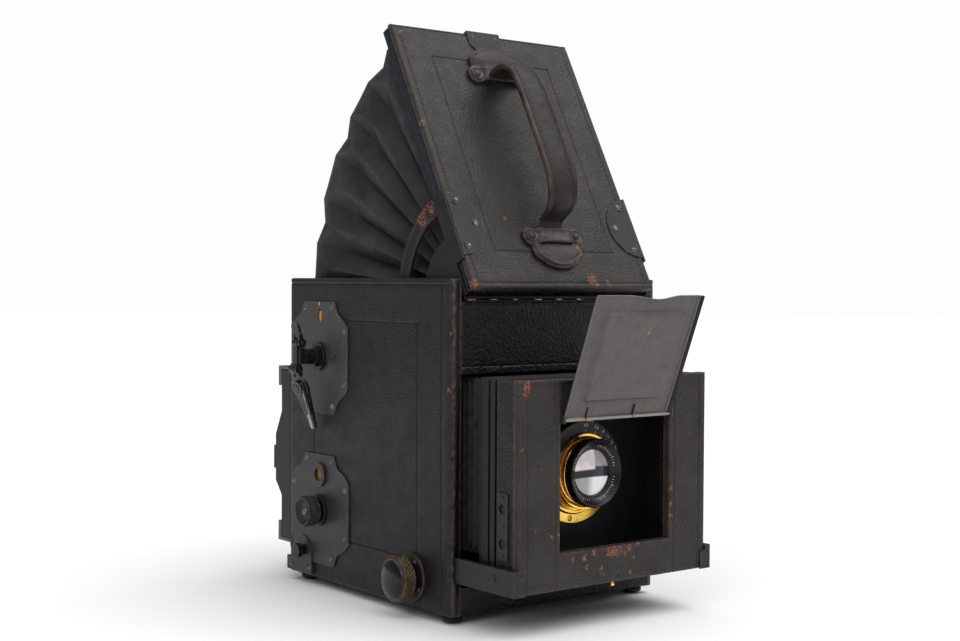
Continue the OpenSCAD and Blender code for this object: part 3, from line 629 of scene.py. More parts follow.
def floor():
    """A pale floor: one disc with a faint mottle."""
    made = Surface("floor_pale", Roughness=0.75)
    made.set("Base Color", made.mix(made.ranged(made.noise(400, 3), 0.3, 0.7), (0.93, 0.92, 0.92), (0.95, 0.94, 0.94)))
    work = bmesh.new()
    bmesh.ops.create_circle(work, cap_ends=True, segments=128, radius=9.0)
    mesh = bpy.data.meshes.new("floor")
    work.to_mesh(mesh)
    work.free()
    mesh.materials.append(made.material)
    piece = bpy.data.objects.new("floor", mesh)
    bpy.context.scene.collection.objects.link(piece)


# ---- covered boards ----------------------------------------------------------------------------
def round_middle(node):
    """Depth and height of the middle of a round CAD node's box, in the case's frame."""
    low, high = span(node)
    return (low.y + high.y) / 2, (low.z + high.z) / 2


def wall_board(node, depth, look):
    """The wooden part of a side wall: the CAD wall cut off under its leather, depth from the middle."""
    work = bmesh.new()
    work.from_mesh(frame["nodes"][node].data)
    bmesh.ops.transform(work, matrix=CASE.inverted(), verts=work.verts)
    bmesh.ops.remove_doubles(work, verts=work.verts, dist=2e-6)
    side = 1 if depth > 0 else -1
    everything = list(work.verts) + list(work.edges) + list(work.faces)
    bmesh.ops.bisect_plane(work, geom=everything, plane_co=(depth * MM, 0, 0), plane_no=(side, 0, 0),
                           clear_outer=True)
    bmesh.ops.holes_fill(work, edges=[e for e in work.edges if e.is_boundary])
    piece = install(node + "_board", finished_mesh(node + "_board", work), "case", "leather_black", look=look)
    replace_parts(piece, node)


def side_walls():
    """Each side wall: its board, and thick leather with a pressed border over it."""
    low, high = span("side_wall_left")
    deep, tall = high.y, high.z - low.z
    cut = 3.0
    border = [(deep - 150, 30, deep - 33, 30), (deep - 150, 172, deep - 33, 172),
              (deep - 33, 30, deep - 33, 172), (deep - 150, 30, deep - 150, 172)]
    seams = [(deep - 8.5, 0, deep - 8.5, tall), (0, tall - 3.6, deep, tall - 3.6)]
    scuffs = [(-82, 1.5, 139, 2.0), (-82.5, 1, 171, 1.0), (-82.5, 40, 6, 1.6), (-82.5, 120, 5.5, 1.4)]
    # the wall leather is a darker copy of the leather: painted shade on the side walls
    look = leather("leather_side", (0.0078, 0.0063, 0.0078), (0.115, 0.093, 0.08), 0.9, scuffs=scuffs, rub=0.9, relief=0.3)
    pockets = []
    for node, radius in (("winding_gear", 31), ("tension_disc", 28.5)):
        y, z = round_middle(node)
        pockets.append((deep - y, z - low.z, radius))
    wall = slab("wall_left_leather", "case", "leather_black", (low.x + cut, deep, low.z), (0, -1, 0), (0, 0, 1),
                (deep, tall), cut, 2.4, border + seams, look=look, pockets=pockets)
    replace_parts(wall, "side_wall_left")
    wall_board("side_wall_left", low.x + cut, look)
    low, high = span("side_wall_right")
    border = frame_rect(33, 30, deep - 32, 172)
    seams = [(8.5, 0, 8.5, tall), (0, tall - 3.6, deep, tall - 3.6)]
    scuffs = [(82.5, 1, 150, 1.8), (82.5, 181, 60, 1.8), (82.5, 90, 5.5, 2.0)]
    # the wall leather is a darker copy of the leather: painted shade on the side walls
    look = leather("leather_right", (0.0078, 0.0063, 0.0078), (0.115, 0.093, 0.08), 0.9, scuffs=scuffs, rub=0.9, relief=0.3)
    wall = slab("wall_right_leather", "case", "leather_black", (high.x - cut, 0, low.z), (0, 1, 0), (0, 0, 1),
                (deep, tall), cut, 2.4, border + seams, look=look)
    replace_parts(wall, "side_wall_right")
    wall_board("side_wall_right", high.x - cut, look)


def boards():
    """Upper and lower board of the box's front, and the board at the back."""
    low, high = span("front_boards")
    window_top, window_low = 147.4, 22.0
    wide = high.x - low.x
    # the front boards get a darker copy of the leather: painted shade, as cast by the lid over the upper board
    look = leather("leather_front", (0.006, 0.0054, 0.0064), (0.04, 0.033, 0.03), grain=1.6, gloss=0.26, relief=0.65)
    upper = slab("front_upper_leather", "case", "leather_black", (low.x, 2.2, window_top), (1, 0, 0), (0, 0, 1),
                 (wide, high.z - window_top), 2.2, 0.8, [(0, 4.6, wide, 4.6), (0, 40.5, wide, 40.5)], look=look)
    backing = slab("front_upper_backing", "case", "leather_black", (-72, 8, window_top), (1, 0, 0), (0, 0, 1),
                   (144, high.z - window_top - 0.5), 5.7, 0.3, look=look)
    lower = slab("front_lower_leather", "case", "leather_black", (low.x, 8, low.z), (1, 0, 0), (0, 0, 1),
                 (wide, window_low - low.z), 8, 0.8, look=look)
    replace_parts(upper, "front_boards")
    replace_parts(lower, "front_boards")
    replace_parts(backing, "front_boards")


def rear_leather():
    low, high = span("rear_frame")
    hole = (low.x * -1 - 63.5, 88 - 51 - low.z, -low.x + 63.5, 88 + 51 - low.z)
    wall = slab("rear_leather", "case", "leather_black", (high.x, low.y, low.z), (-1, 0, 0), (0, 0, 1),
                (high.x - low.x, high.z - low.z), high.y - low.y, 0.9,
                frame_rect(14, 150, high.x - low.x - 14, 176), hole)
    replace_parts(wall, "rear_frame")
    base_low, base_high = span("base_board")
    base = slab("base_leather", "case", "leather_black", (base_low.x, base_high.y, base_high.z), (1, 0, 0),
                (0, -1, 0), (base_high.x - base_low.x, base_high.y - base_low.y), base_high.z - base_low.z,
                0.8, frame_rect(12, 12, base_high.x - base_low.x - 12, base_high.y - base_low.y - 12),
                (-base_low.x - 9.5, base_high.y - 100.5, -base_low.x + 9.5, base_high.y - 81.5))
    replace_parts(base, "base_board")


def lid_leather():
    low, high = span("lid_panel", LID)
    wide, long_side = high.x - low.x, high.y
    lines = frame_rect(wide / 2 - 47.5, 25, wide / 2 + 47.5, 164)
    lines += [(5.2, 0, 5.2, long_side), (wide - 5.2, 0, wide - 5.2, long_side), (0, 3.4, wide, 3.4),
              (0, long_side - 2.6, wide, long_side - 2.6)]
    scuffs = [(22, 7, 11, 3.6), (24, 3.5, 11, 2.4), (34.8, 3.6, 11, 2.3), (-32, 48, 11, 1.6), (-72, 114, 11, 2.4),
              (-67, 181, 11, 1.6), (-71, 4, 10.5, 3.2), (-69, 1, 8, 2.6)]
    # the lid face is a lighter copy of the leather: painted light on the up-facing lid
    look = leather("leather_lid_face", (0.0235, 0.0213, 0.0202), (0.1, 0.07, 0.05), grain=1.0, scuffs=scuffs, relief=0.34)
    panel = slab("lid_leather", "lid", "leather_lid", (low.x, low.y, low.z + 2.6), (1, 0, 0), (0, 1, 0),
                 (wide, long_side - low.y), high.z - low.z - 2.6, 1.5, lines, matrix=LID, look=look)
    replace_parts(panel, "lid_panel")
    core = slab("lid_core", "lid", "leather_lid", (low.x + 0.5, low.y + 0.3, low.z - 0.1), (1, 0, 0), (0, 1, 0),
                (wide - 1, long_side - low.y - 0.8), 2.9, 0.6, matrix=LID, look=BLUE_BLACK)
    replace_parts(core, "lid_panel")


def front_leather():
    low, high = span("front_panel")
    wide, tall, thick = high.x - low.x, high.z - low.z, high.y - low.y
    window_low, window_high = span("flap_mount")
    half = window_high.x
    bottom = span("front_panel")[0].z + 21.4
    hole = (wide / 2 - half, bottom - low.z, wide / 2 + half, window_high.z - low.z)
    lines = [(wide / 2 - 47.2, 0, wide / 2 - 47.2, tall), (wide / 2 + 47.2, 0, wide / 2 + 47.2, tall),
             (5.6, 0, 5.6, tall), (wide - 5.6, 0, wide - 5.6, tall), (0, 4, wide, 4)]
    scuffs = [(x, low.y, z, radius) for x, z, radius in (
        (-69, 144, 3.4), (-70, 139, 2.0), (-5, 43.6, 2.6), (-1, 43.8, 3.2), (3, 44, 2.4), (-25, 43.2, 2.2),
        (-18, 44.6, 2.0), (-33.7, 42, 1.6), (-23.3, 37, 1.5), (6.7, 42, 1.6), (10.8, 45, 2.0), (18, 46, 1.5),
        (14.5, 38.5, 1.4), (-12, 35.5, 1.4), (-11.4, 31.5, 1.5), (12, 30, 1.7), (44.8, 77, 1.7), (44.6, 68, 1.8),
        (45, 61, 1.6), (-58, 96, 1.1), (-62, 62, 1.1), (-50, 57, 1.3), (-45, 57.5, 1.0), (60, 110, 1.0),
        (-73, 108, 1.4), (66, 131, 1.0))]
    look = leather("leather_panel", (0.022, 0.0196, 0.0192), (0.13, 0.085, 0.06), grain=1.1, scuffs=scuffs)
    panel = slab("front_panel_leather", "front", "leather_black", (low.x, high.y, low.z), (1, 0, 0), (0, 0, 1),
                 (wide, tall), thick, 1.2, lines, hole, look=look)
    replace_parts(panel, "front_panel")
    pin = [(0, 0), (0.7, 0), (0.7, 1.1), (1.2, 1.4), (1.2, 2.4), (0.8, 2.9), (0, 3.0)]
    lathe("panel_pin", pin, "front", "brass_dark", (-1, low.y + 2.2, low.z + 0.4), (0, 0, -1), 20,
          look=FINISH["brass_lens"])


# ---- pleated cloth -----------------------------------------------------------------------------
def soften(piece, levels=2):
    """Subdivides a piece, keeping its creased edges, and applies the result."""
    changer = piece.modifiers.new("soft", "SUBSURF")
    changer.levels = levels
    changer.render_levels = levels
    graph = bpy.context.evaluated_depsgraph_get()
    mesh = bpy.data.meshes.new_from_object(piece.evaluated_get(graph))
    piece.modifiers.clear()
    piece.data = mesh
    shade(mesh, 40)


def thicken(work, depth):
    """Gives an open bmesh sheet a second side, depth metres behind it."""
    bmesh.ops.recalc_face_normals(work, faces=work.faces)
    bmesh.ops.solidify(work, geom=list(work.faces), thickness=depth)


def crease_folds(work, amount, degrees=8):
    layer = work.edges.layers.float.get("crease_edge") or work.edges.layers.float.new("crease_edge")
    for edge in work.edges:
        if len(edge.link_faces) < 2 or edge.calc_face_angle(0) > math.radians(degrees):
            edge[layer] = amount


# angle above the deck and kind of each fold: O sticks out at the corner, S is a side fold whose
# corner is pressed flat, V is a side fold that meets a valley across the back
HOOD_FOLDS = ((1.0, "O"), (6.2, "S"), (11.4, "O"), (16.4, "V"), (21.4, "O"), (26.5, "S"), (31.8, "O"),
              (36.8, "V"), (41.5, "O"), (46.0, "S"), (51.0, "O"), (56.4, "V"), (60.0, "O"), (62.1, "S"))


def hood_section(kind, angle):
    """Half of the hood's outline at one fold, from the hinge round to the middle of the back, as
    (x, distance from the hinge)."""
    reach = 176.5 + max(angle - 51, 0) * 0.35
    if kind == "O":
        return [(65.2, 14), (60.0, 50), (58.0, 100), (58.8, 150), (66.8, reach), (48, reach), (24, reach),
                (0, reach)]
    if kind == "S":
        return [(66.2, 14), (66.8, 50), (67.2, 100), (67.2, 160), (66.6, reach - 0.8), (48, reach - 0.6),
                (24, reach - 0.6), (0, reach - 0.6)]
    return [(66.2, 14), (66.8, 50), (67.2, 100), (67.2, 161), (65.0, reach - 3.7), (47, reach - 4),
            (24, reach - 4), (0, reach - 4)]


def hood():
    """The viewing hood: a fan of folds about the lid hinge, open to the lid and to the deck."""
    rings = []
    for angle, kind in HOOD_FOLDS:
        half = hood_section(kind, angle)
        rings.append([(-x, r) for x, r in half] + [(x, r) for x, r in reversed(half[:-1])])
    count = len(rings[0])
    work = bmesh.new()
    grid = []
    for (angle, _), ring in zip(HOOD_FOLDS, rings):
        lean = math.radians(angle)
        row = []
        for k, (x, reach) in enumerate(ring):
            sag = 0.8 * noise.noise(Vector((x, reach, angle * 3)) / 23)
            rise = 1.1 if angle > 62 else 0
            along = reach if rise else reach + sag
            point = Vector((x, along * math.cos(lean) - rise * math.sin(lean),
                            along * math.sin(lean) + rise * math.cos(lean)))
            row.append(work.verts.new(point * MM))
        grid.append(row)
    for j in range(len(grid) - 1):
        for k in range(count - 1):
            if HOOD_FOLDS[j][0] > 35 and HOOD_FOLDS[j][0] < 51 and 5 < k < count - 7:
                continue
            work.faces.new((grid[j][k], grid[j][k + 1], grid[j + 1][k + 1], grid[j + 1][k]))
    bmesh.ops.triangulate(work, faces=[f for f in work.faces if not_flat(f)])
    thicken(work, 0.0009)
    crease_folds(work, 1.0, 4)
    mesh = bpy.data.meshes.new("hood_cloth")
    work.to_mesh(mesh)
    work.free()
    place = Matrix.Translation((MID_X, HINGE.y, HINGE.z))
    piece = install("hood_cloth", mesh, None, "cloth_hood", place)
    soften(piece)
    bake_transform(piece)
    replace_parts(piece, "hood_bellows")


def not_flat(face):
    """True if a quad's corners are out of plane."""
    points = [v.co for v in face.verts]
    normal = (points[1] - points[0]).cross(points[2] - points[0])
    return len(points) == 4 and abs((points[3] - points[0]).dot(normal.normalized())) > 0.0004


def lens_bellows():
    """Square bellows between the lens board and the mirror box."""
    low, high = span("lens_bellows")
    folds = 9
    work = bmesh.new()
    rows = []
    for j in range(2 * folds + 1):
        y = low.y + (high.y - low.y) * j / (2 * folds)
        tuck = 0.3 if j % 2 == 0 else 3.6
        x, z0, z1 = high.x - tuck, low.z + tuck, high.z - tuck
        cut = 5.0 if j % 2 else 2.0
        ring = [(x - cut, z0), (x, z0 + cut), (x, z1 - cut), (x - cut, z1),
                (cut - x, z1), (-x, z1 - cut), (-x, z0 + cut), (cut - x, z0)]
        rows.append([work.verts.new(Vector((a, y, b)) * MM) for a, b in ring])
    for j in range(2 * folds):
        for k in range(8):
            n = (k + 1) % 8
            work.faces.new((rows[j][k], rows[j][n], rows[j + 1][n], rows[j + 1][k]))
    thicken(work, 0.0007)
    mesh = finished_mesh("lens_bellows_cloth", work, 20)
    piece = install("lens_bellows_cloth", mesh, None, "cloth_bellows")
    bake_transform(piece)
    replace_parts(piece, "lens_bellows")


# ---- handle ------------------------------------------------------------------------------------
def arch(share):
    """Height of the strap's arch as a share of its rise, share from -1 to 1 along it."""
    power = 4.2 if share > 0 else 3.6
    return max(1 - abs(share) ** power, 0) ** (1 / power)


def strap():
    """The carrying strap: a padded leather band with raised edges and two lines of stitching."""
    low, high = span("handle_strap", LID)
    _, face = span("lid_panel", LID)
    top = face.z
    middle, half, rise = (low.y + high.y) / 2, (high.y - low.y) / 2, high.z - top
    thick, wide = 3.4, (high.x - low.x) / 2
    # across the band: share of the half width, and height above its middle plane
    across = [(-1.0, -0.6), (-0.99, 0.3), (-0.94, 1.0), (-0.84, 1.25), (-0.75, 1.1), (-0.7, 0.8), (-0.65, 0.8),
              (-0.6, 1.15), (-0.3, 1.5), (0, 1.65), (0.3, 1.5), (0.6, 1.15), (0.65, 0.8), (0.7, 0.8),
              (0.75, 1.1), (0.84, 1.25), (0.94, 1.0), (0.99, 0.3), (1.0, -0.6), (0.95, -2.0), (0.75, -3.2),
              (0, -3.7), (-0.75, -3.2), (-0.95, -2.0)]
    centre = []
    steps = 64
    for i in range(steps + 1):
        lean = math.pi / 2 * (2 * i / steps - 1)
        share = math.sin(lean)
        s = middle + share * (half - thick / 2)
        h = (rise - thick / 2) * arch(share)
        centre.append(Vector((0, s, top + h)))
    # the near end turns in under its loop, the far end passes straight under its own
    near_loop, far_loop = loop_places()
    centre = [p for p in centre if p.z > top + 7.0]
    lead_in = [(near_loop - 7, 2.2), (near_loop - 2, 2.4), (near_loop + 3, 2.6), (near_loop + 7, 3.2),
               (near_loop + 10, 4.6)]
    lead_out = [(far_loop - 1.6, 3.6), (far_loop + 1.5, 2.8), (far_loop + 5, 2.5), (far_loop + 8, 2.4)]
    centre = [Vector((0, s, top + h)) for s, h in lead_in] + centre
    centre += [Vector((0, s, top + h)) for s, h in lead_out]
    verts, faces = [], []
    count = len(across)
    for i, point in enumerate(centre):
        before, after = centre[max(i - 1, 0)], centre[min(i + 1, len(centre) - 1)]
        run = (after - before).normalized()
        out = Vector((1, 0, 0)).cross(run)
        near_end = min(max((point.y - near_loop - 6) / 9, 0), 1)
        ease = near_end * near_end * (3 - 2 * near_end)
        share_along = (point.y - middle) / half
        width = wide * (0.82 + 0.18 * ease) + 1.9 * ease * max(1 - share_along ** 2, 0)
        flat = 0.55 + 0.45 * ease
        if point.y > far_loop - 3 and point.z < top + 8:
            flat = 0.6
        for share, height in across:
            sway = 0.25 * noise.noise(Vector((share, point.y, 3.0)) / 9)
            depth = height if height > 0 else height * flat
            verts.append(point + Vector((share * width + sway, 0, 0)) + out * depth * flat)
    for i in range(len(centre) - 1):
        for k in range(count):
            n = (k + 1) % count
            faces.append((i * count + k, i * count + n, (i + 1) * count + n, (i + 1) * count + k))
    faces.append(tuple(range(count)))
    faces.append(tuple(reversed([(len(centre) - 1) * count + k for k in range(count)])))
    look = handle_leather()
    piece = make("strap_leather", verts, faces, "lid", "leather_handle", LID, look)
    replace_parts(piece, "handle_strap")
    stitches(centre, wide, middle, half)


def handle_leather():
    """Smooth dark leather, rubbed red-brown along both edges of the strap."""
    made = Surface("leather_strap", Specular_IOR_Level=0.24)
    across = made.node("SeparateXYZ", {"Vector": made.place}).outputs["X"]
    edge = made.ranged(made.math("ABSOLUTE", across), 0.0085, 0.0112)
    left = made.ranged(across, 0.002, -0.009, 0.35, 1.0)
    patch = made.ranged(made.noise(9, 4), 0.32, 0.62)
    brown = made.math("MULTIPLY", made.math("MULTIPLY", edge, left), patch)
    pebble = made.cells(1.5)
    base = made.mix(made.ranged(made.noise(12, 4), 0.3, 0.7), (0.0135, 0.0115, 0.0108), (0.0235, 0.02, 0.0185))
    base = made.mix(brown, base, (0.07, 0.043, 0.038))
    made.set("Base Color", base)
    made.set("Roughness", made.ranged(made.noise(5, 4), 0.3, 0.7, 0.4, 0.55))
    coarse = made.bump(made.noise(6, 4), 0.3, 0.4)
    made.set("Normal", made.bump(pebble, 0.6, 0.3, coarse))
    return made.material


def stitches(centre, wide, middle, half):
    """Small thread beads in both grooves of the strap."""
    threads = []
    verts, faces = [], []
    length = 0.0
    bead = [(-1.0, 0.0), (-0.6, 0.5), (0.6, 0.5), (1.0, 0.0)]
    for i in range(6, len(centre) - 5):
        a, b = centre[i], centre[i + 1]
        run = (b - a).normalized()
        out = Vector((1, 0, 0)).cross(run)
        pitch = 2.1
        travelled = (b - a).length
        start = pitch - length % pitch
        while start < travelled:
            spot = a + run * start
            width = wide + 1.9 * max(1 - ((spot.y - middle) / half) ** 2, 0)
            for side in (-0.675, 0.675):
                threads.append((spot + Vector((side * width, 0, 0)) + out * 0.85, run, out))
            start += pitch
        length += travelled
    for spot, run, out in threads:
        base = len(verts)
        for step in (-0.7, 0.7):
            for dx, dh in ((-0.22, -0.25), (0.22, -0.25), (0.16, 0.12), (-0.16, 0.12)):
                verts.append(spot + run * step * (0.75 if dh > 0 else 1) + Vector((dx, 0, 0)) + out * dh)
        faces += [(base, base + 1, base + 2, base + 3), (base + 7, base + 6, base + 5, base + 4)]
        for k in range(4):
            n = (k + 1) % 4
            faces.append((base + k, base + 4 + k, base + 4 + n, base + n))
    make("strap_stitches", verts, faces, "lid", "leather_handle", LID, FINISH["cloth_bellows"])


def loop_places():
    """Where the middles of the two handle loops lie along the lid."""
    low, high = span("handle_anchors", LID)
    return low.y + 22.0, high.y - 22.0


def loops():
    """Two leather-faced metal loops with disc ends and rivets, and the strap's ends beyond them."""
    _, face = span("lid_panel", LID)
    top = face.z
    for name, middle, way in zip(("near", "far"), loop_places(), (-1, 1)):
        verts, faces = [], []
        count = 48
        outline = []
        for i in range(count + 1):
            x = -24 + 48 * i / count
            if abs(x) > 17.6:
                half = math.sqrt(max(6.3 ** 2 - (abs(x) - 17.6) ** 2, 0.02))
            else:
                blend = min(max((abs(x) - 11) / 6.6, 0), 1)
                half = 4.9 + 1.4 * blend * blend
            arched = min(max((15.5 - abs(x)) / 4.5, 0), 1)
            rise = 2.6 * arched * arched * (3 - 2 * arched)
            outline.append((x, half, rise))
        section = [(-1, 0.0), (-1, 1.1), (-0.9, 1.6), (-0.72, 1.75), (-0.62, 1.35), (0, 1.5), (0.62, 1.35),
                   (0.72, 1.75), (0.9, 1.6), (1, 1.1), (1, 0.0)]
        rows = len(section)
        for x, half, rise in outline:
            for share, height in section:
                verts.append(Vector((x, middle + share * half, top + rise + 1.3 + height * 0.8)))
        for i in range(count):
            for k in range(rows):
                n = (k + 1) % rows
                faces.append((i * rows + k, i * rows + n, (i + 1) * rows + n, (i + 1) * rows + k))
        faces.append(tuple(range(rows)))
        faces.append(tuple(reversed([count * rows + k for k in range(rows)])))
        piece = make("loop_" + name, verts, faces, "lid", "metal_blackened", LID,
                     leather("leather_loop_" + name, (0.014, 0.0125, 0.0125), (0.09, 0.07, 0.06), 1.2, 0.4, relief=0.12),
                     degrees=50)
        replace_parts(piece, "handle_anchors")
        for side, word in ((-1, "left"), (1, "right")):
            rivet(f"rivet_{name}_{word}", (side * 17.6, middle, top + 2.4))
        tail(name, middle, way, top)


def rivet(name, centre):
    """A domed rivet in a shallow ring washer."""
    profile = [(0, 0), (4.4, 0), (4.4, 0.75), (4.0, 1.05), (3.4, 0.75), (3.0, 0.6), (2.5, 0.65), (2.35, 1.1), (1.9, 1.7),
               (1.1, 2.1), (0, 2.25)]
    lathe(name, profile, "lid", "metal_blackened", centre, (0, 0, 1), 32, matrix=LID, closed=True)


def tail(name, middle, way, top):
    """The strap's end beyond a loop: a thick half oval with a pressed border."""
    verts, faces = [], []
    columns, rows = 40, 14

    def reach(x):
        return math.sqrt(24 ** 2 - x ** 2) - 2 if abs(x) < 19.2 else 12.4

    def layer(height_of):
        for i in range(columns + 1):
            x = 19.3 * math.sin(math.pi / 2 * (2 * i / columns - 1))
            end = math.sqrt(24.0 ** 2 - min(abs(x), 19.3) ** 2) - 2
            for j in range(rows + 1):
                depth = math.sin(math.pi / 2 * j / rows)
                s = 2.6 + (end - 2.6) * depth
                verts.append(Vector((x, middle + way * s, top + height_of(x, s, end))))

    def upper(x, s, end):
        gap = min(19.4 - abs(x), (end - s) * 0.9)
        lift = 1.5 * min(max(s - 5, 0) / 6, 1)
        edge = 1.0 - math.sqrt(max(1 - min(gap / 1.6, 1), 0)) if gap < 1.6 else 1.0
        groove = 0.45 * math.exp(-((gap - 3.1) / 0.55) ** 2)
        return 0.9 + lift + 1.7 * edge - groove + 0.12 * noise.noise(Vector((x, s, 5)) / 6)

    def lower(x, s, end):
        return 0.15 + 1.15 * min(max(s - 4, 0) / 6, 1)

    layer(upper)
    layer(lower)
    row = rows + 1
    base = (columns + 1) * row

    def top_at(i, j):
        return i * row + j

    for i in range(columns):
        for j in range(rows):
            a, b, c, d = top_at(i, j), top_at(i + 1, j), top_at(i + 1, j + 1), top_at(i, j + 1)
            faces += [(a, b, c, d), (base + d, base + c, base + b, base + a)]
    for i in range(columns):
        for j in (0, rows):
            a, b = top_at(i, j), top_at(i + 1, j)
            faces.append((a, base + a, base + b, b))
    for j in range(rows):
        for i in (0, columns):
            a, b = top_at(i, j), top_at(i, j + 1)
            faces.append((a, b, base + b, base + a))
    scuffs = []
    if way < 0:
        scuffs = [(15.5, middle - 9, top + 3, 2.2), (17, middle - 13, top + 3, 2.0), (12, middle - 18, top + 3, 1.6)]
    look = leather("leather_tail_" + name, (0.022, 0.018, 0.017), (0.12, 0.068, 0.055), 1.2, 0.42, scuffs, 0.7, 0.16)
    make("tail_" + name, verts, faces, "lid", "leather_handle", LID, look, degrees=55)


def arc_rib(name, radius, first, last, x, look):
    """A half-round rib along an arc about the hinge, on the outside of a lid arm."""
    verts, faces = [], []
    steps, rows = 40, 7
    side = 1 if x > 0 else -1
    for i in range(steps + 1):
        lean = math.radians(first + (last - first) * i / steps - LID_DEG)
        for k in range(rows):
            turn = math.pi * k / (rows - 1)
            reach = radius + 0.9 * math.cos(turn)
            verts.append((x + side * (0.55 * math.sin(turn) - 0.1), reach * math.cos(lean), reach * math.sin(lean)))
    for i in range(steps):
        for k in range(rows):
            n = (k + 1) % rows
            faces.append((i * rows + k, i * rows + n, (i + 1) * rows + n, (i + 1) * rows + k))
    faces.append(tuple(range(rows)))
    faces.append(tuple(reversed([steps * rows + k for k in range(rows)])))
    make(name, verts, faces, "lid", "metal_blackened", LID, look)


def arm_look():
    """Black enamel worn through to a reddish primer at the top of the arc."""
    made = Surface("metal_arms", Specular_IOR_Level=0.22)
    patches = made.ranged(made.noise(9, 5), 0.3, 0.7)
    base = made.mix(patches, (0.007, 0.0065, 0.0075), (0.013, 0.012, 0.013))
    streaks = made.ranged(made.noise(2.2, 4, (1, 0.35, 0.5)), 0.44, 0.52)
    worn = made.math("MULTIPLY", made.spots([(-74, 62, -7, 7.0), (-74, 60, -14, 5)], 2.0), streaks)
    base = made.mix(made.math("MULTIPLY", made.edges(0.35), 0.5), base, (0.1, 0.09, 0.085))
    made.set("Base Color", made.mix(worn, base, (0.3, 0.1, 0.045)))
    made.set("Roughness", made.ranged(made.noise(6, 4), 0.3, 0.7, 0.36, 0.5))
    made.set("Normal", made.bump(made.noise(3, 4), 0.15, 0.1))
    return made.material


# ---- metal fittings on the lid -----------------------------------------------------------------
def lid_fittings():
    rounded("lid_plates", "lid", "metal_blackened", 0.22, LID,
            metal("metal_corners", (0.0105, 0.0105, 0.0105), (0.16, 0.16, 0.16), 0.6, 0.1, 0.9))
    _, face = span("lid_panel", LID)
    places = [(65.3, 59.2), (56.6, 43.6), (66.6, 27.8)]
    for i, (x, s) in enumerate(places):
        for side, word in ((-1, "left"), (1, "right")):
            domed_screw(f"corner_screw_{word}_{i}", (side * x, s, face.z + 0.85), (0, 0, 1), 2.0, 40 + 55 * i, "lid",
                        matrix=LID, dome=1.0)
    for side, word in ((-1, "left"), (1, "right")):
        domed_screw("latch_screw_" + word, (side * 9.5, face.y - 3.2, face.z + 0.95), (0, 0, 1), 1.5, 30, "lid",
                    "metal_blackened", LID, 0.7)
    look = arm_look()
    rounded("lid_arms", "lid", "metal_blackened", 0.25, LID, look)
    for side, word in ((-1, "left"), (1, "right")):
        arc_rib("arm_rib_outer_" + word, 64.6, 4, 59, side * 74, look)
        arc_rib("arm_rib_inner_" + word, 57.2, 4, 56, side * 74, look)
    rounded("lid_frame", "lid", "wood_ebonised", 0.5, LID,
            BLUE_BLACK)


# ---- lens --------------------------------------------------------------------------------------
def lens_glass_look(centre):
    """Coated glass with a painted view through it: a bright field crossed by a dark band, set into the colour and
    glowing faintly.
    """
    made = Surface("lens_glass_face", Roughness=0.05, Specular_IOR_Level=0.35)
    moved = made.node("VectorMath", operation="SUBTRACT")
    made.feed(moved.inputs[0], made.place)
    moved.inputs[1].default_value = centre * MM
    split = made.node("SeparateXYZ", {"Vector": moved.outputs["Vector"]})
    x, z = split.outputs["X"], split.outputs["Z"]
    # the masks below lay out the painted view and reflections on the glass
    bend = made.math("MULTIPLY", made.math("MULTIPLY", x, x), 3.0)
    level = made.math("ADD", z, bend)
    right = made.ranged(x, 0.0016, 0.0024)
    upper = made.ranged(level, 0.0016, 0.0026)
    upper_right = made.ranged(level, 0.0032, 0.0042)
    lower = made.ranged(level, -0.0022, -0.0030)
    fade = made.ranged(made.noise(5, 2), 0.3, 0.7)
    white = made.mix(fade, (0.62, 0.56, 0.56), (0.86, 0.8, 0.8))
    grey = made.mix(fade, (0.24, 0.22, 0.22), (0.38, 0.36, 0.35))
    low_white = made.mix(made.ranged(x, -0.004, 0.001), (0.34, 0.36, 0.37), (0.8, 0.79, 0.78))
    band = made.mix(right, (0.008, 0.008, 0.012), (0.015, 0.022, 0.034))
    left_half = made.mix(upper, band, white)
    right_half = made.mix(upper_right, band, grey)
    both = made.mix(right, left_half, right_half)
    base = made.mix(lower, both, low_white)
    made.set("Base Color", base)
    # painted light: the glass glows a little with its painted view, though it is no lamp
    made.set("Emission Color", base)
    made.set("Emission Strength", 0.1)
    return made.material


def ring_profile(points):
    return [(radius, -y) for radius, y in points]


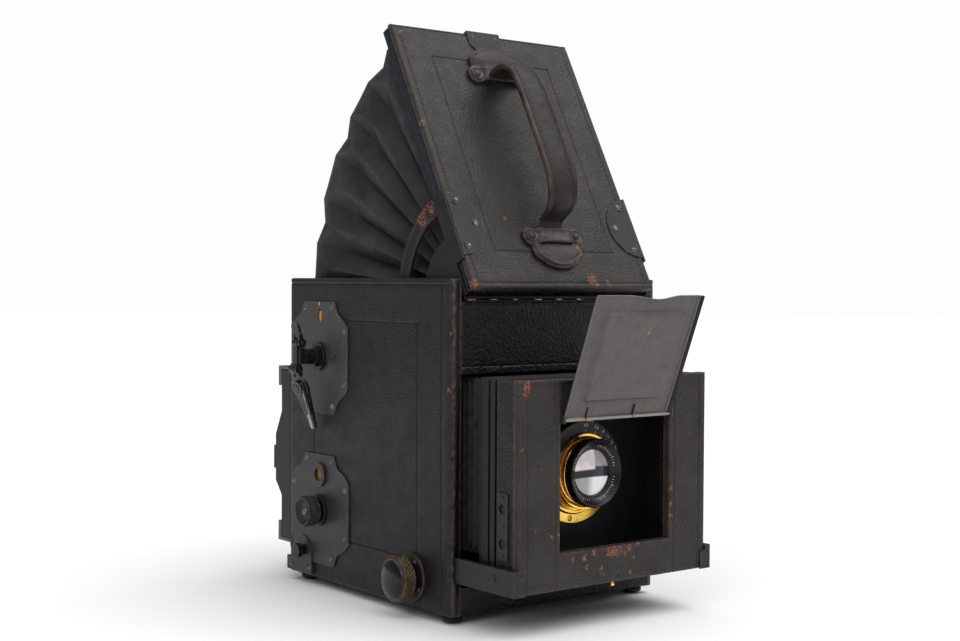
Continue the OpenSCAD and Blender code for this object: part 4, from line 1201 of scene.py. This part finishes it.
def lens():
    """Brass flange, barrel, aperture scale, black front rim and the glasses."""
    centre = local(LENS_TURN)
    axis_point = Vector((0, 0, centre.z))
    board = span("lens_board")[0].y
    forward = (0, -1, 0)
    flange = span("lens_flange")[1].x
    plate = lathe("lens_flange_brass",
                  ring_profile([(18.6, board), (flange - 0.2, board), (flange, board - 0.4), (flange, board - 1.6),
                                (flange - 0.5, board - 2), (27.0, board - 2), (26.6, board - 2.3),
                                (26.3, board - 3.5), (25.9, board - 3.8), (25.0, board - 3.8), (24.9, board - 3.0),
                                (24.3, board - 3.0), (24.2, board - 6.0), (23.9, board - 6.3), (18.6, board - 6.3)]),
                  "front", "brass_lens", axis_point, forward, 128, degrees=28)
    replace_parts(plate, "lens_flange")
    for i, angle in enumerate((22, 142, 262)):
        spot = (29.4 * math.cos(math.radians(angle)), board - 1.9, centre.z + 29.4 * math.sin(math.radians(angle)))
        domed_screw(f"flange_screw_{i}", spot, forward, 1.9, 40 + 30 * i, "front", "brass_lens", dome=0.55)
    ring = lathe("iris_ring_brass",
                 ring_profile([(18.7, -21.6), (22.6, -21.6), (23.0, -22.2), (23.0, -25.6), (23.2, -25.9), (23.2, -26.7),
                               (22.9, -27), (21.6, -27), (21.3, -26.6), (20.6, -26.4), (19.6, -26.9), (18.7, -27)]),
                 "aperture_ring", "brass_lens", axis_point, forward, 144, degrees=28)
    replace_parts(ring, "iris_ring")
    barrel = lathe("barrel_brass",
                   ring_profile([(15.6, -31), (20.7, -31), (20.95, -30.8), (20.95, -30.2), (20.7, -29.9), (18.9, -29.7),
                                 (18.5, -29.2), (18.5, -28.2), (18.2, -27.9), (18.5, -27.6), (18.5, board + 6.6),
                                 (18.1, board + 7), (15.6, board + 7)]),
                   "front", "brass_lens", axis_point, forward, 128, degrees=28)
    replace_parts(barrel, "lens_barrel")
    rim = lathe("front_cell_black",
                ring_profile([(13.8, -30), (15.4, -30), (15.4, -31.2), (20.4, -31.2), (20.8, -31.5), (20.8, -35.7),
                              (20.55, -36.3), (20.1, -36.8), (19.5, -36.9), (19.1, -36.6), (17.9, -34.9),
                              (15.4, -33.3), (15.1, -33.3), (14.9, -32.9), (14.3, -32.4), (13.8, -32.2)]),
                "front", "lacquer_black", axis_point, forward, 128, degrees=30)
    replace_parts(rim, "lens_front_cell")
    glasses(axis_point)
    polar_bars("index_notch", [(111, 20.9, 23.35, 3.2)], "aperture_ring", "lacquer_black", axis_point, -27.0,
               FINISH["lacquer_black"], 0.1)
    rim_marks(axis_point)
    aperture_scale(axis_point)


def glasses(axis_point):
    """A bulged front glass and a flatter rear glass."""
    steps = 14
    edge = 13.75
    front = [(edge * math.sin(math.pi / 2 * i / steps), 31.0 + 2.6 * math.cos(math.pi / 2 * i / steps) ** 2 * 0.55
              + 0.6) for i in range(steps, -1, -1)]
    profile = [(0, 29.2), (edge, 29.2)] + front
    face = lathe("front_glass", profile, "front", "glass_lens", axis_point, (0, -1, 0), 96,
                 look=lens_glass_look(axis_point + Vector((0, -32, 0))), degrees=60)
    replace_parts(face, "lens_glasses")
    rear = [(15.3 * math.sin(math.pi / 2 * i / steps), 8.6 + 1.6 * (1 - math.cos(math.pi / 2 * i / steps)))
            for i in range(steps + 1)]
    profile = [(0, 12.4), (15.3, 12.4)] + list(reversed(rear))
    back = lathe("rear_glass", profile, "front", "glass_lens", axis_point, (0, -1, 0), 96, degrees=60)
    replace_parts(back, "lens_glasses")


def polar_bars(name, bars, body, slot, axis_point, y, look, rise=0.12, slope=0.0):
    """Thin raised bars on a face towards -Y: each is (angle, inner radius, outer radius, width)."""
    verts, faces = [], []
    for angle, inner, outer, width in bars:
        lean = math.radians(angle)
        out = Vector((math.cos(lean), 0, math.sin(lean)))
        side = Vector((-math.sin(lean), 0, math.cos(lean)))
        base = len(verts)
        for depth in (0.3, -rise):
            for radius, half in ((inner, -1), (outer, -1), (outer, 1), (inner, 1)):
                back = y + depth - slope * (radius - inner)
                verts.append(axis_point + out * radius + side * half * width / 2 + Vector((0, back, 0)))
        faces += [(base + 3, base + 2, base + 1, base), (base + 4, base + 5, base + 6, base + 7)]
        for k in range(4):
            n = (k + 1) % 4
            faces.append((base + k, base + n, base + 4 + n, base + 4 + k))
    return make(name, verts, faces, body, slot, look=look)


def engraved_look():
    made = Surface("engraving_white", Roughness=0.5)
    made.set("Base Color", made.mix(made.ranged(made.noise(0.7, 3), 0.42, 0.58), (0.3, 0.29, 0.28), (0.72, 0.71, 0.69)))
    return made.material


ENGRAVED = engraved_look()


def rim_marks(axis_point):
    """Generic engraved ticks round the sloping face of the front rim."""
    bars = []
    for i in range(60):
        if i % 15 in (0, 1, 14):
            continue
        long_mark = i % 5 == 0
        bars.append((i * 6, 16.1, 17.5 if long_mark else 16.9, 0.32))
    polar_bars("rim_ticks", bars, "front", "lacquer_black", axis_point, -33.76, ENGRAVED, 0.08, 0.64)


def aperture_scale(axis_point):
    """A black half disc with ticks and the usual aperture numbers."""
    inner, outer = 22.9, 30.4
    verts, faces = [], []
    count = 72
    section = [(inner, -23.4), (outer - 0.1, -23.4), (outer, -23.6), (outer, -24.8), (outer - 0.2, -25), (inner, -25)]
    rows = len(section)
    for i in range(count + 1):
        lean = math.radians(-9.5 + 199 * i / count)
        for radius, y in section:
            verts.append(axis_point + Vector((radius * math.cos(lean), y, radius * math.sin(lean))))
    for i in range(count):
        for k in range(rows):
            n = (k + 1) % rows
            faces.append((i * rows + k, i * rows + n, (i + 1) * rows + n, (i + 1) * rows + k))
    faces.append(tuple(range(rows)))
    faces.append(tuple(reversed([count * rows + k for k in range(rows)])))
    plate = make("aperture_plate", verts, faces, "aperture_ring", "lacquer_black",
                 look=metal("scale_black", (0.03, 0.03, 0.031), (0.14, 0.14, 0.14), 0.45, 0.4))
    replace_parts(plate, "iris_ring")
    marks = [(87, "4.5"), (69, "5.6"), (56, "8"), (46, "11"), (36, "16"), (26, "22"), (16, "32")]
    bars = [(angle, 23.9, 25.5, 0.4) for angle, _ in marks]
    polar_bars("aperture_ticks", bars, "aperture_ring", "lacquer_black", axis_point, -25.0, ENGRAVED)
    for angle, text in marks:
        number("aperture_" + text.replace(".", "_"), text, axis_point, angle, 27.9, -25.0, 2.9)


def number(name, text, axis_point, angle, radius, y, size):
    """A number on a face towards -Y, standing on a circle."""
    curve = bpy.data.curves.new(name, "FONT")
    curve.body = text
    curve.size = size * MM
    curve.extrude = 0.00007
    curve.align_x = "CENTER"
    curve.align_y = "CENTER"
    lean = math.radians(angle)
    spot = axis_point + Vector((radius * math.cos(lean), y, radius * math.sin(lean)))
    face = Matrix.Rotation(math.pi / 2, 4, "X")
    turn = Matrix.Rotation(lean - math.pi / 2, 4, "Y").inverted()
    maker = bpy.data.objects.new(name, curve)
    bpy.context.scene.collection.objects.link(maker)
    graph = bpy.context.evaluated_depsgraph_get()
    mesh = bpy.data.meshes.new_from_object(maker.evaluated_get(graph))
    bpy.data.objects.remove(maker)
    mesh.transform(Matrix.Translation(spot * MM) @ turn @ face)
    mesh.name = name
    install(name, mesh, "aperture_ring", "lacquer_black", look=ENGRAVED)


# ---- the front standard ------------------------------------------------------------------------
def front_standard():
    rounded("front_box", "front", "leather_black", 0.7, look=leather("leather_front_box", (0.0135, 0.0115, 0.013),
            (0.1, 0.07, 0.055), 1.3))
    rounded("front_box_frame", "front", "wood_ebonised", 0.5)
    rounded("lens_board", "front", "wood_ebonised", 0.4,
            look=wood("board_black", (0.011, 0.012, 0.014), (0.04, 0.03, 0.03), 0.4, "z"))
    rounded("focus_rails", "front", "wood_ebonised", 0.35,
            look=wood("rail_wood", (0.017, 0.0168, 0.0178), (0.07, 0.05, 0.04), 0.42))
    rounded("side_hole_plate", "front", "metal_blackened", 0.18,
            look=metal("hole_plate_dark", (0.016, 0.016, 0.0165), (0.2, 0.19, 0.18), 0.5, 0.3))
    rounded("flap_mount", "front", "metal_blackened", 0.15)


def flap():
    """The sheet-metal lens flap: a pressed border, a rolled hem and a lip dipped off centre."""
    joint = JOINTS["flap_hinge"]
    pivot = local(joint["pos_m"])
    low, high = span("lens_flap")
    lean = math.atan2(-(low.y - pivot.y), high.z - pivot.z)
    half = high.x
    length = math.hypot(low.y - pivot.y, high.z - pivot.z) - 1.6
    place = CASE @ Matrix.Translation(pivot * MM) @ Matrix.Rotation(lean, 4, "X")
    face_wide = 2 * half - 3.4
    pan = (8.4, 9.2, face_wide - 6.6, length - 9.4)
    slope = 3.0
    us = stations(face_wide, 2.0, 1.0, [pan[0], pan[0] + 2, pan[2] - 2, pan[2], half + 5])
    vs = stations(length, 2.0, 1.0, [pan[1], pan[1] + 2, pan[3] - 2, pan[3], length - 5, length - 3, length - 1])
    verts, faces = [], []

    def surface(u, v):
        """How far the sheet stands forward, and how far its top edge is dented down."""
        inward = min(u - pan[0], pan[2] - u, v - pan[1], pan[3] - v)
        corner_u = max(pan[0] + 5 - u, u - pan[2] + 5, 0)
        corner_v = max(pan[1] + 5 - v, v - pan[3] + 5, 0)
        if corner_u and corner_v:
            inward = 5 - math.hypot(corner_u, corner_v)
        raised = min(max(inward / slope, 0), 1)
        raised = 2.4 * raised * raised * (3 - 2 * raised)
        dent = max(1 - abs(u - half - 3) / 21, 0)
        dent = dent * dent * (3 - 2 * dent)
        lip = max(1 - (length - v) / (1.6 + 5.4 * dent), 0)
        wave = 0.3 * noise.noise(Vector((u, v, 2)) / 30)
        crinkle = 0.2 * noise.noise(Vector((u, v, 8)) / 3.5) * lip
        return wave + crinkle + raised - 1.1 + (0.7 + 2.6 * dent) * lip * lip, 1.3 * dent * lip

    for side in (-0.4, 0.4):
        for v in vs:
            for u in us:
                forward, dent = surface(u, v)
                verts.append(Vector((u - half, side - forward, 0.9 + v - dent)))
    row = len(us)
    base = row * len(vs)
    for j in range(len(vs) - 1):
        for i in range(row - 1):
            a, b, c, d = j * row + i, j * row + i + 1, (j + 1) * row + i + 1, (j + 1) * row + i
            faces += [(a, b, c, d), (base + d, base + c, base + b, base + a)]
            if i == 0:
                faces.append((d, base + d, base + a, a))
            if i == row - 2:
                faces.append((b, base + b, base + c, c))
            if j == 0:
                faces.append((a, base + a, base + b, b))
            if j == len(vs) - 2:
                faces.append((c, base + c, base + d, d))
    look = flap_look()
    sheet = make("flap_sheet", verts, faces, "flap", "flap_grey", place, look)
    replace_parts(sheet, "lens_flap")
    hem = []
    slits = (-26.5, 10.6)
    ends = [-half, slits[0], slits[1], half - 0.6]
    for i in range(3):
        start, end = ends[i] + 0.3, ends[i + 1] - 0.3
        profile = [(0.5, 0), (0.85, 0.15), (0.95, 0.4), (0.95, end - start - 0.4), (0.85, end - start - 0.15),
                   (0.5, end - start)]
        hem.append(lathe(f"flap_hem_{i}", profile, "flap", "flap_grey", (start, 0, 0), (1, 0, 0), 20,
                         matrix=place, look=look))
    dark = wood("flap_dark", (0.004, 0.0035, 0.0035), (0.02, 0.015, 0.012), 0.6, "z")
    # near-black bars on the sheet at the slits: painted shade inside the slits
    for i, x in enumerate(slits):
        bar(f"flap_slit_{i}", (x - 0.3, -0.2, 0.6), (x + 0.3, 0.9, 7.4), "flap", "flap_grey", place, dark)
    bar("flap_edge", (half - 3.3, -0.5, 0.9), (half, 1.1, length + 0.6), "flap", "flap_grey", place, dark)
    bar("flap_edge_lip", (half - 3.5, -0.2, 1.2), (half - 3.1, 1.4, length + 0.4), "flap", "flap_grey", place, look)


def bar(name, low, high, body, slot, matrix=CASE, look=None):
    """A plain box between two corners, its edges eased."""
    work = bmesh.new()
    bmesh.ops.create_cube(work, size=1.0)
    low, high = Vector(low) * MM, Vector(high) * MM
    size = high - low
    bmesh.ops.scale(work, vec=size, verts=work.verts)
    bmesh.ops.translate(work, vec=(low + high) / 2, verts=work.verts)
    ease = min(size) * 0.2
    bmesh.ops.bevel(work, geom=list(work.edges), offset=ease, segments=2, profile=0.6, affect="EDGES")
    return install(name, finished_mesh(name, work), body, slot, matrix, look)


def flap_look():
    """Thin metal in old grey paint, mottled and scratched."""
    made = Surface("flap_paint", Metallic=0.15)
    mottle = made.ranged(made.noise(7, 5), 0.3, 0.7)
    base = made.mix(mottle, (0.07, 0.065, 0.062), (0.088, 0.081, 0.077))
    scratch = made.ranged(made.noise(1.2, 4, (0.3, 1, 3)), 0.66, 0.72)
    base = made.mix(scratch, base, (0.15, 0.14, 0.13))
    mark = made.spots([(-1, -1, 46, 2.2), (0.5, -1, 50, 2.4), (2, -1, 55, 2.2), (-2.4, -1, 41, 1.2)], 1.5)
    streaks = made.ranged(made.noise(1.0, 4, (1, 1, 0.25)), 0.5, 0.58)
    base = made.mix(made.math("MULTIPLY", mark, streaks), base, (0.3, 0.25, 0.15))
    made.set("Base Color", made.mix(made.math("MULTIPLY", made.edges(0.3), 0.8), base, (0.3, 0.28, 0.26)))
    made.set("Roughness", made.ranged(made.noise(4, 4), 0.3, 0.7, 0.42, 0.6))
    made.set("Normal", made.bump(made.noise(9, 3), 0.12, 0.2))
    return made.material


# ---- controls on the left wall -----------------------------------------------------------------
def knurl(count, pitch, depth, low, high):
    """A diamond knurl between two distances along the axis."""
    def ripple(radius, reach, angle):
        if not low <= reach <= high:
            return radius
        first = abs(((angle * count / math.pi / 2 + reach / pitch) % 1) - 0.5)
        second = abs(((angle * count / math.pi / 2 - reach / pitch) % 1) - 0.5)
        return radius + depth * (first + second - 0.5)
    return ripple


def focus_knob():
    low, high = span("focus_knob")
    centre = Vector((0, (low.y + high.y) / 2, (low.z + high.z) / 2))
    wall = -span("side_wall_left")[0].x
    radius = (high.y - low.y) / 2
    start, end = wall + 6.2, wall + 12.3
    rows = 15
    grip = [(radius - 0.25, start + (end - start) * i / rows) for i in range(rows + 1)]
    profile = [(5.6, wall + 5.4), (radius - 1.2, wall + 5.4), (radius - 0.3, wall + 5.8)] + grip
    profile += [(radius - 0.3, wall + 12.8), (radius - 1.1, wall + 13.3), (radius - 1.6, wall + 13.3), (5.6, wall + 13.0)]
    look = metal("brass_worn_knob", (0.07, 0.052, 0.032), (0.5, 0.38, 0.22), 0.33, 0.9, 1.0)
    rim = lathe("focus_knob_grip", profile, "focus_control", "brass_dark", centre, (-1, 0, 0), 320,
                knurl(40, 2.4, 1.0, start - 0.01, end + 0.01), look, degrees=18)
    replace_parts(rim, "focus_knob")
    cap = [(0, wall + 12.9), (radius - 2.0, wall + 12.9), (radius - 1.9, wall + 13.4), (radius - 2.6, wall + 14.3),
           (radius - 5, wall + 15.2), (5, wall + 16.0), (0, wall + 16.4)]
    face = lathe("focus_knob_cap", cap, "focus_control", "lacquer_black", centre, (-1, 0, 0), 96, degrees=40,
                 look=lacquer("cap_black", (0.005, 0.005, 0.0055), 0.14))
    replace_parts(face, "focus_knob")
    neck = lathe("focus_knob_neck", [(1.9, wall + 2.4), (5.9, wall + 2.4), (5.9, wall + 5.6), (1.9, wall + 5.6)],
                 "focus_control", "brass_dark", centre, (-1, 0, 0), 48)
    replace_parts(neck, "focus_knob")
    flange = [(1.9, wall), (15.3, wall), (15.5, wall + 0.3), (15.3, wall + 1.0), (14.6, wall + 1.4), (13.8, wall + 1.2),
              (13.2, wall + 1.0), (8.0, wall + 1.2), (7.2, wall + 2.1), (1.9, wall + 2.2)]
    disc = lathe("focus_flange_disc", flange, "case", "brass_dark", centre, (-1, 0, 0), 96,
                 look=metal("flange_dark", (0.05, 0.045, 0.042), (0.5, 0.38, 0.2), 0.35, 0.85, 0.8))
    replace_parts(disc, "focus_flange")
    for i, angle in enumerate((30, 120, 210, 300)):
        lean = math.radians(angle)
        spot = (-wall - 1.1, centre.y + 11.8 * math.cos(lean), centre.z + 11.8 * math.sin(lean))
        domed_screw(f"flange_pin_{i}", spot, (-1, 0, 0), 1.1, 25 * i, "case", dome=0.4)


def tension_knob():
    low, high = span("tension_knob")
    centre = Vector((0, (low.y + high.y) / 2, (low.z + high.z) / 2))
    wall = -span("side_wall_left")[0].x
    rows = 13
    start, end = wall + 5.8, wall + 12.6
    grip = [(9.75, start + (end - start) * i / rows) for i in range(rows + 1)]
    profile = [(3.1, wall + 1.2), (10.4, wall + 1.2), (10.6, wall + 1.6), (10.5, wall + 2.8), (10.1, wall + 3.0),
               (6.4, wall + 3.2), (6.1, wall + 5.0), (9.4, wall + 5.4)] + grip
    profile += [(9.6, wall + 13.2), (9.1, wall + 13.9), (8.3, wall + 14.0), (7.4, wall + 13.2), (6.2, wall + 12.3),
                (3.4, wall + 11.7), (3.1, wall + 11.7)]
    knob = lathe("tension_knob_turned", profile, "tension_control", "metal_key", centre, (-1, 0, 0), 240,
                 knurl(30, 2.2, 1.0, start - 0.01, end + 0.01), degrees=18)
    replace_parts(knob, "tension_knob")
    domed_screw("tension_knob_screw", (-wall - 12.0, centre.y, centre.z), (-1, 0, 0), 2.9, 65, "tension_control",
                dome=1.2)


def plates():
    plate_look = metal("plate_dark", (0.042, 0.041, 0.042), (0.24, 0.23, 0.22), 0.42, 0.3, 0.9)
    rounded("curtain_plate", "case", "metal_blackened", 0.22, look=plate_look)
    darker = metal("plate_darker", (0.026, 0.026, 0.027), (0.2, 0.19, 0.185), 0.46, 0.25, 0.9)
    rounded("tension_plate", "case", "metal_blackened", 0.22, look=darker)
    rounded("release_plate", "case", "metal_blackened", 0.22, look=darker)
    y, z = round_middle("winding_hub")
    face = span("curtain_plate")[0].x
    bar("window_index", (face - 0.15, y - 0.9, z + 32.6), (face + 0.3, y - 0.3, z + 35.2), "case", "metal_screws",
        look=ENGRAVED)
    work = bmesh.new()
    work.from_mesh(frame["nodes"]["plate_screws"].data)
    bmesh.ops.remove_doubles(work, verts=work.verts, dist=2e-6)
    centres = islands(work)
    work.free()
    for i, centre in enumerate(centres):
        spot = local(centre)
        base = Vector((spot.x + 0.25, spot.y, spot.z))
        screw = domed_screw(f"plate_screw_{i}", base, (-1, 0, 0), 1.95, 37 * i, "case", dome=0.95)
        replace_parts(screw, "plate_screws")


def islands(work):
    """The middle of each separate solid in a bmesh."""
    left = set(work.verts)
    centres = []
    while left:
        seed = min(left, key=lambda v: v.index)
        group, stack = set(), [seed]
        while stack:
            vert = stack.pop()
            if vert in group:
                continue
            group.add(vert)
            stack += [e.other_vert(vert) for e in vert.link_edges]
        left -= group
        centres.append(sum((v.co for v in group), Vector()) / len(group))
    return sorted(centres, key=lambda c: (round(c.z, 4), round(c.y, 4)))


def keys():
    rounded("winding_hub", "winding_key", "metal_key", 0.3)
    rounded("key_wing_upper", "upper_wing", "metal_key", 0.35)
    rounded("key_wing_lower", "lower_wing", "metal_key", 0.35)
    pivot = local(JOINTS["lower_wing_fold"]["pos_m"])
    wing = CASE @ Matrix.Translation(pivot * MM) @ Matrix.Rotation(math.radians(WING_LEAN), 4, "Y")
    steel = metal("wing_steel", (0.26, 0.26, 0.265), (0.62, 0.61, 0.6), 0.28, 0.8)
    bar("wing_tip_cap", (-2.8, -4.9, -40.8), (-0.7, -1.9, -31), "lower_wing", "metal_key", wing, steel)
    # a thin bright steel strip down the wing: painted highlight along the bar's edge
    bar("wing_highlight_strip", (-2.7, -4.95, -31.4), (-2.0, -4.3, -14), "lower_wing", "metal_key", wing, steel)
    ring = [(3.9, 0.3), (4.05, 0), (4.7, 0), (4.9, 0.3), (4.7, 0.65), (4.1, 0.65)]
    lathe("wing_ring", ring, "lower_wing", "metal_key", (-2.9, 0.5, -12.5), (-1, 0, 0), 40, matrix=wing,
          look=metal("ring_worn", (0.07, 0.07, 0.072), (0.5, 0.49, 0.48), 0.3, 0.7, 1.0, 0.3))
    rounded("release_button", "release", "metal_key", 0.5)


# ---- back and inside ---------------------------------------------------------------------------
def back():
    rounded("back_frame", "case", "wood_ebonised", 0.4)
    rounded("plate_holder", "case", "wood_ebonised", 0.6, look=wood("holder_wood", (0.0085, 0.008, 0.008),
            (0.05, 0.035, 0.03), 0.42, "x"))
    rounded("dark_slide", "slide", "wood_ebonised", 0.4)
    steel = metal("lock_steel", (0.1, 0.1, 0.102), (0.42, 0.41, 0.4), 0.42, 0.4)
    rounded("back_lock_upper", "upper_lock", "metal_key", 0.5, look=steel)
    rounded("back_lock_lower", "lower_lock", "metal_key", 0.5, look=steel)
    rounded("mirror_lever", "mirror", "metal_blackened", 0.3)
    rounded("ground_glass_frame", "case", "wood_ebonised", 0.4)
    rounded("feet", "case", "wood_feet", 0.2)


def hinge_dashes():
    """Brass showing where the hinge knuckles are rubbed."""
    low, high = span("hinge_body_leaf")
    look = brass("brass_rubbed", (0.62, 0.4, 0.16), 0.38)
    for i in range(9):
        x = low.x + 1.6 + 17 * i
        bar(f"hinge_dash_{i}", (x, low.y - 0.12, low.z + 1.1), (x + 5.0 - i % 3, low.y + 0.4, low.z + 1.7), "case",
            "brass_dark", look=look)


def dress_cad():
    """Every CAD node gets its slot's finish, whether it is shown or not."""
    disc = metal("disc_brass", (0.62, 0.3, 0.05), (0.75, 0.45, 0.12), 0.35, 0.35)
    leaf = metal("hinge_dark", (0.016, 0.0155, 0.015), (0.2, 0.13, 0.06), 0.45, 0.6, 0.4, 0.2)
    special = {"winding_gear": disc, "tension_disc": disc, "hinge_body_leaf": leaf, "hinge_lid_leaf": leaf}
    for name, piece in frame["nodes"].items():
        slot = piece.data.materials[0].name.split(".")[0]
        piece.data.materials[0] = special.get(name) or FINISH[slot]


camera()
studio()
floor()
dress_cad()
side_walls()
boards()
rear_leather()
lid_leather()
front_leather()
hood()
lens_bellows()
strap()
loops()
lid_fittings()
lens()
front_standard()
flap()
focus_knob()
tension_knob()
plates()
keys()
back()
hinge_dashes()
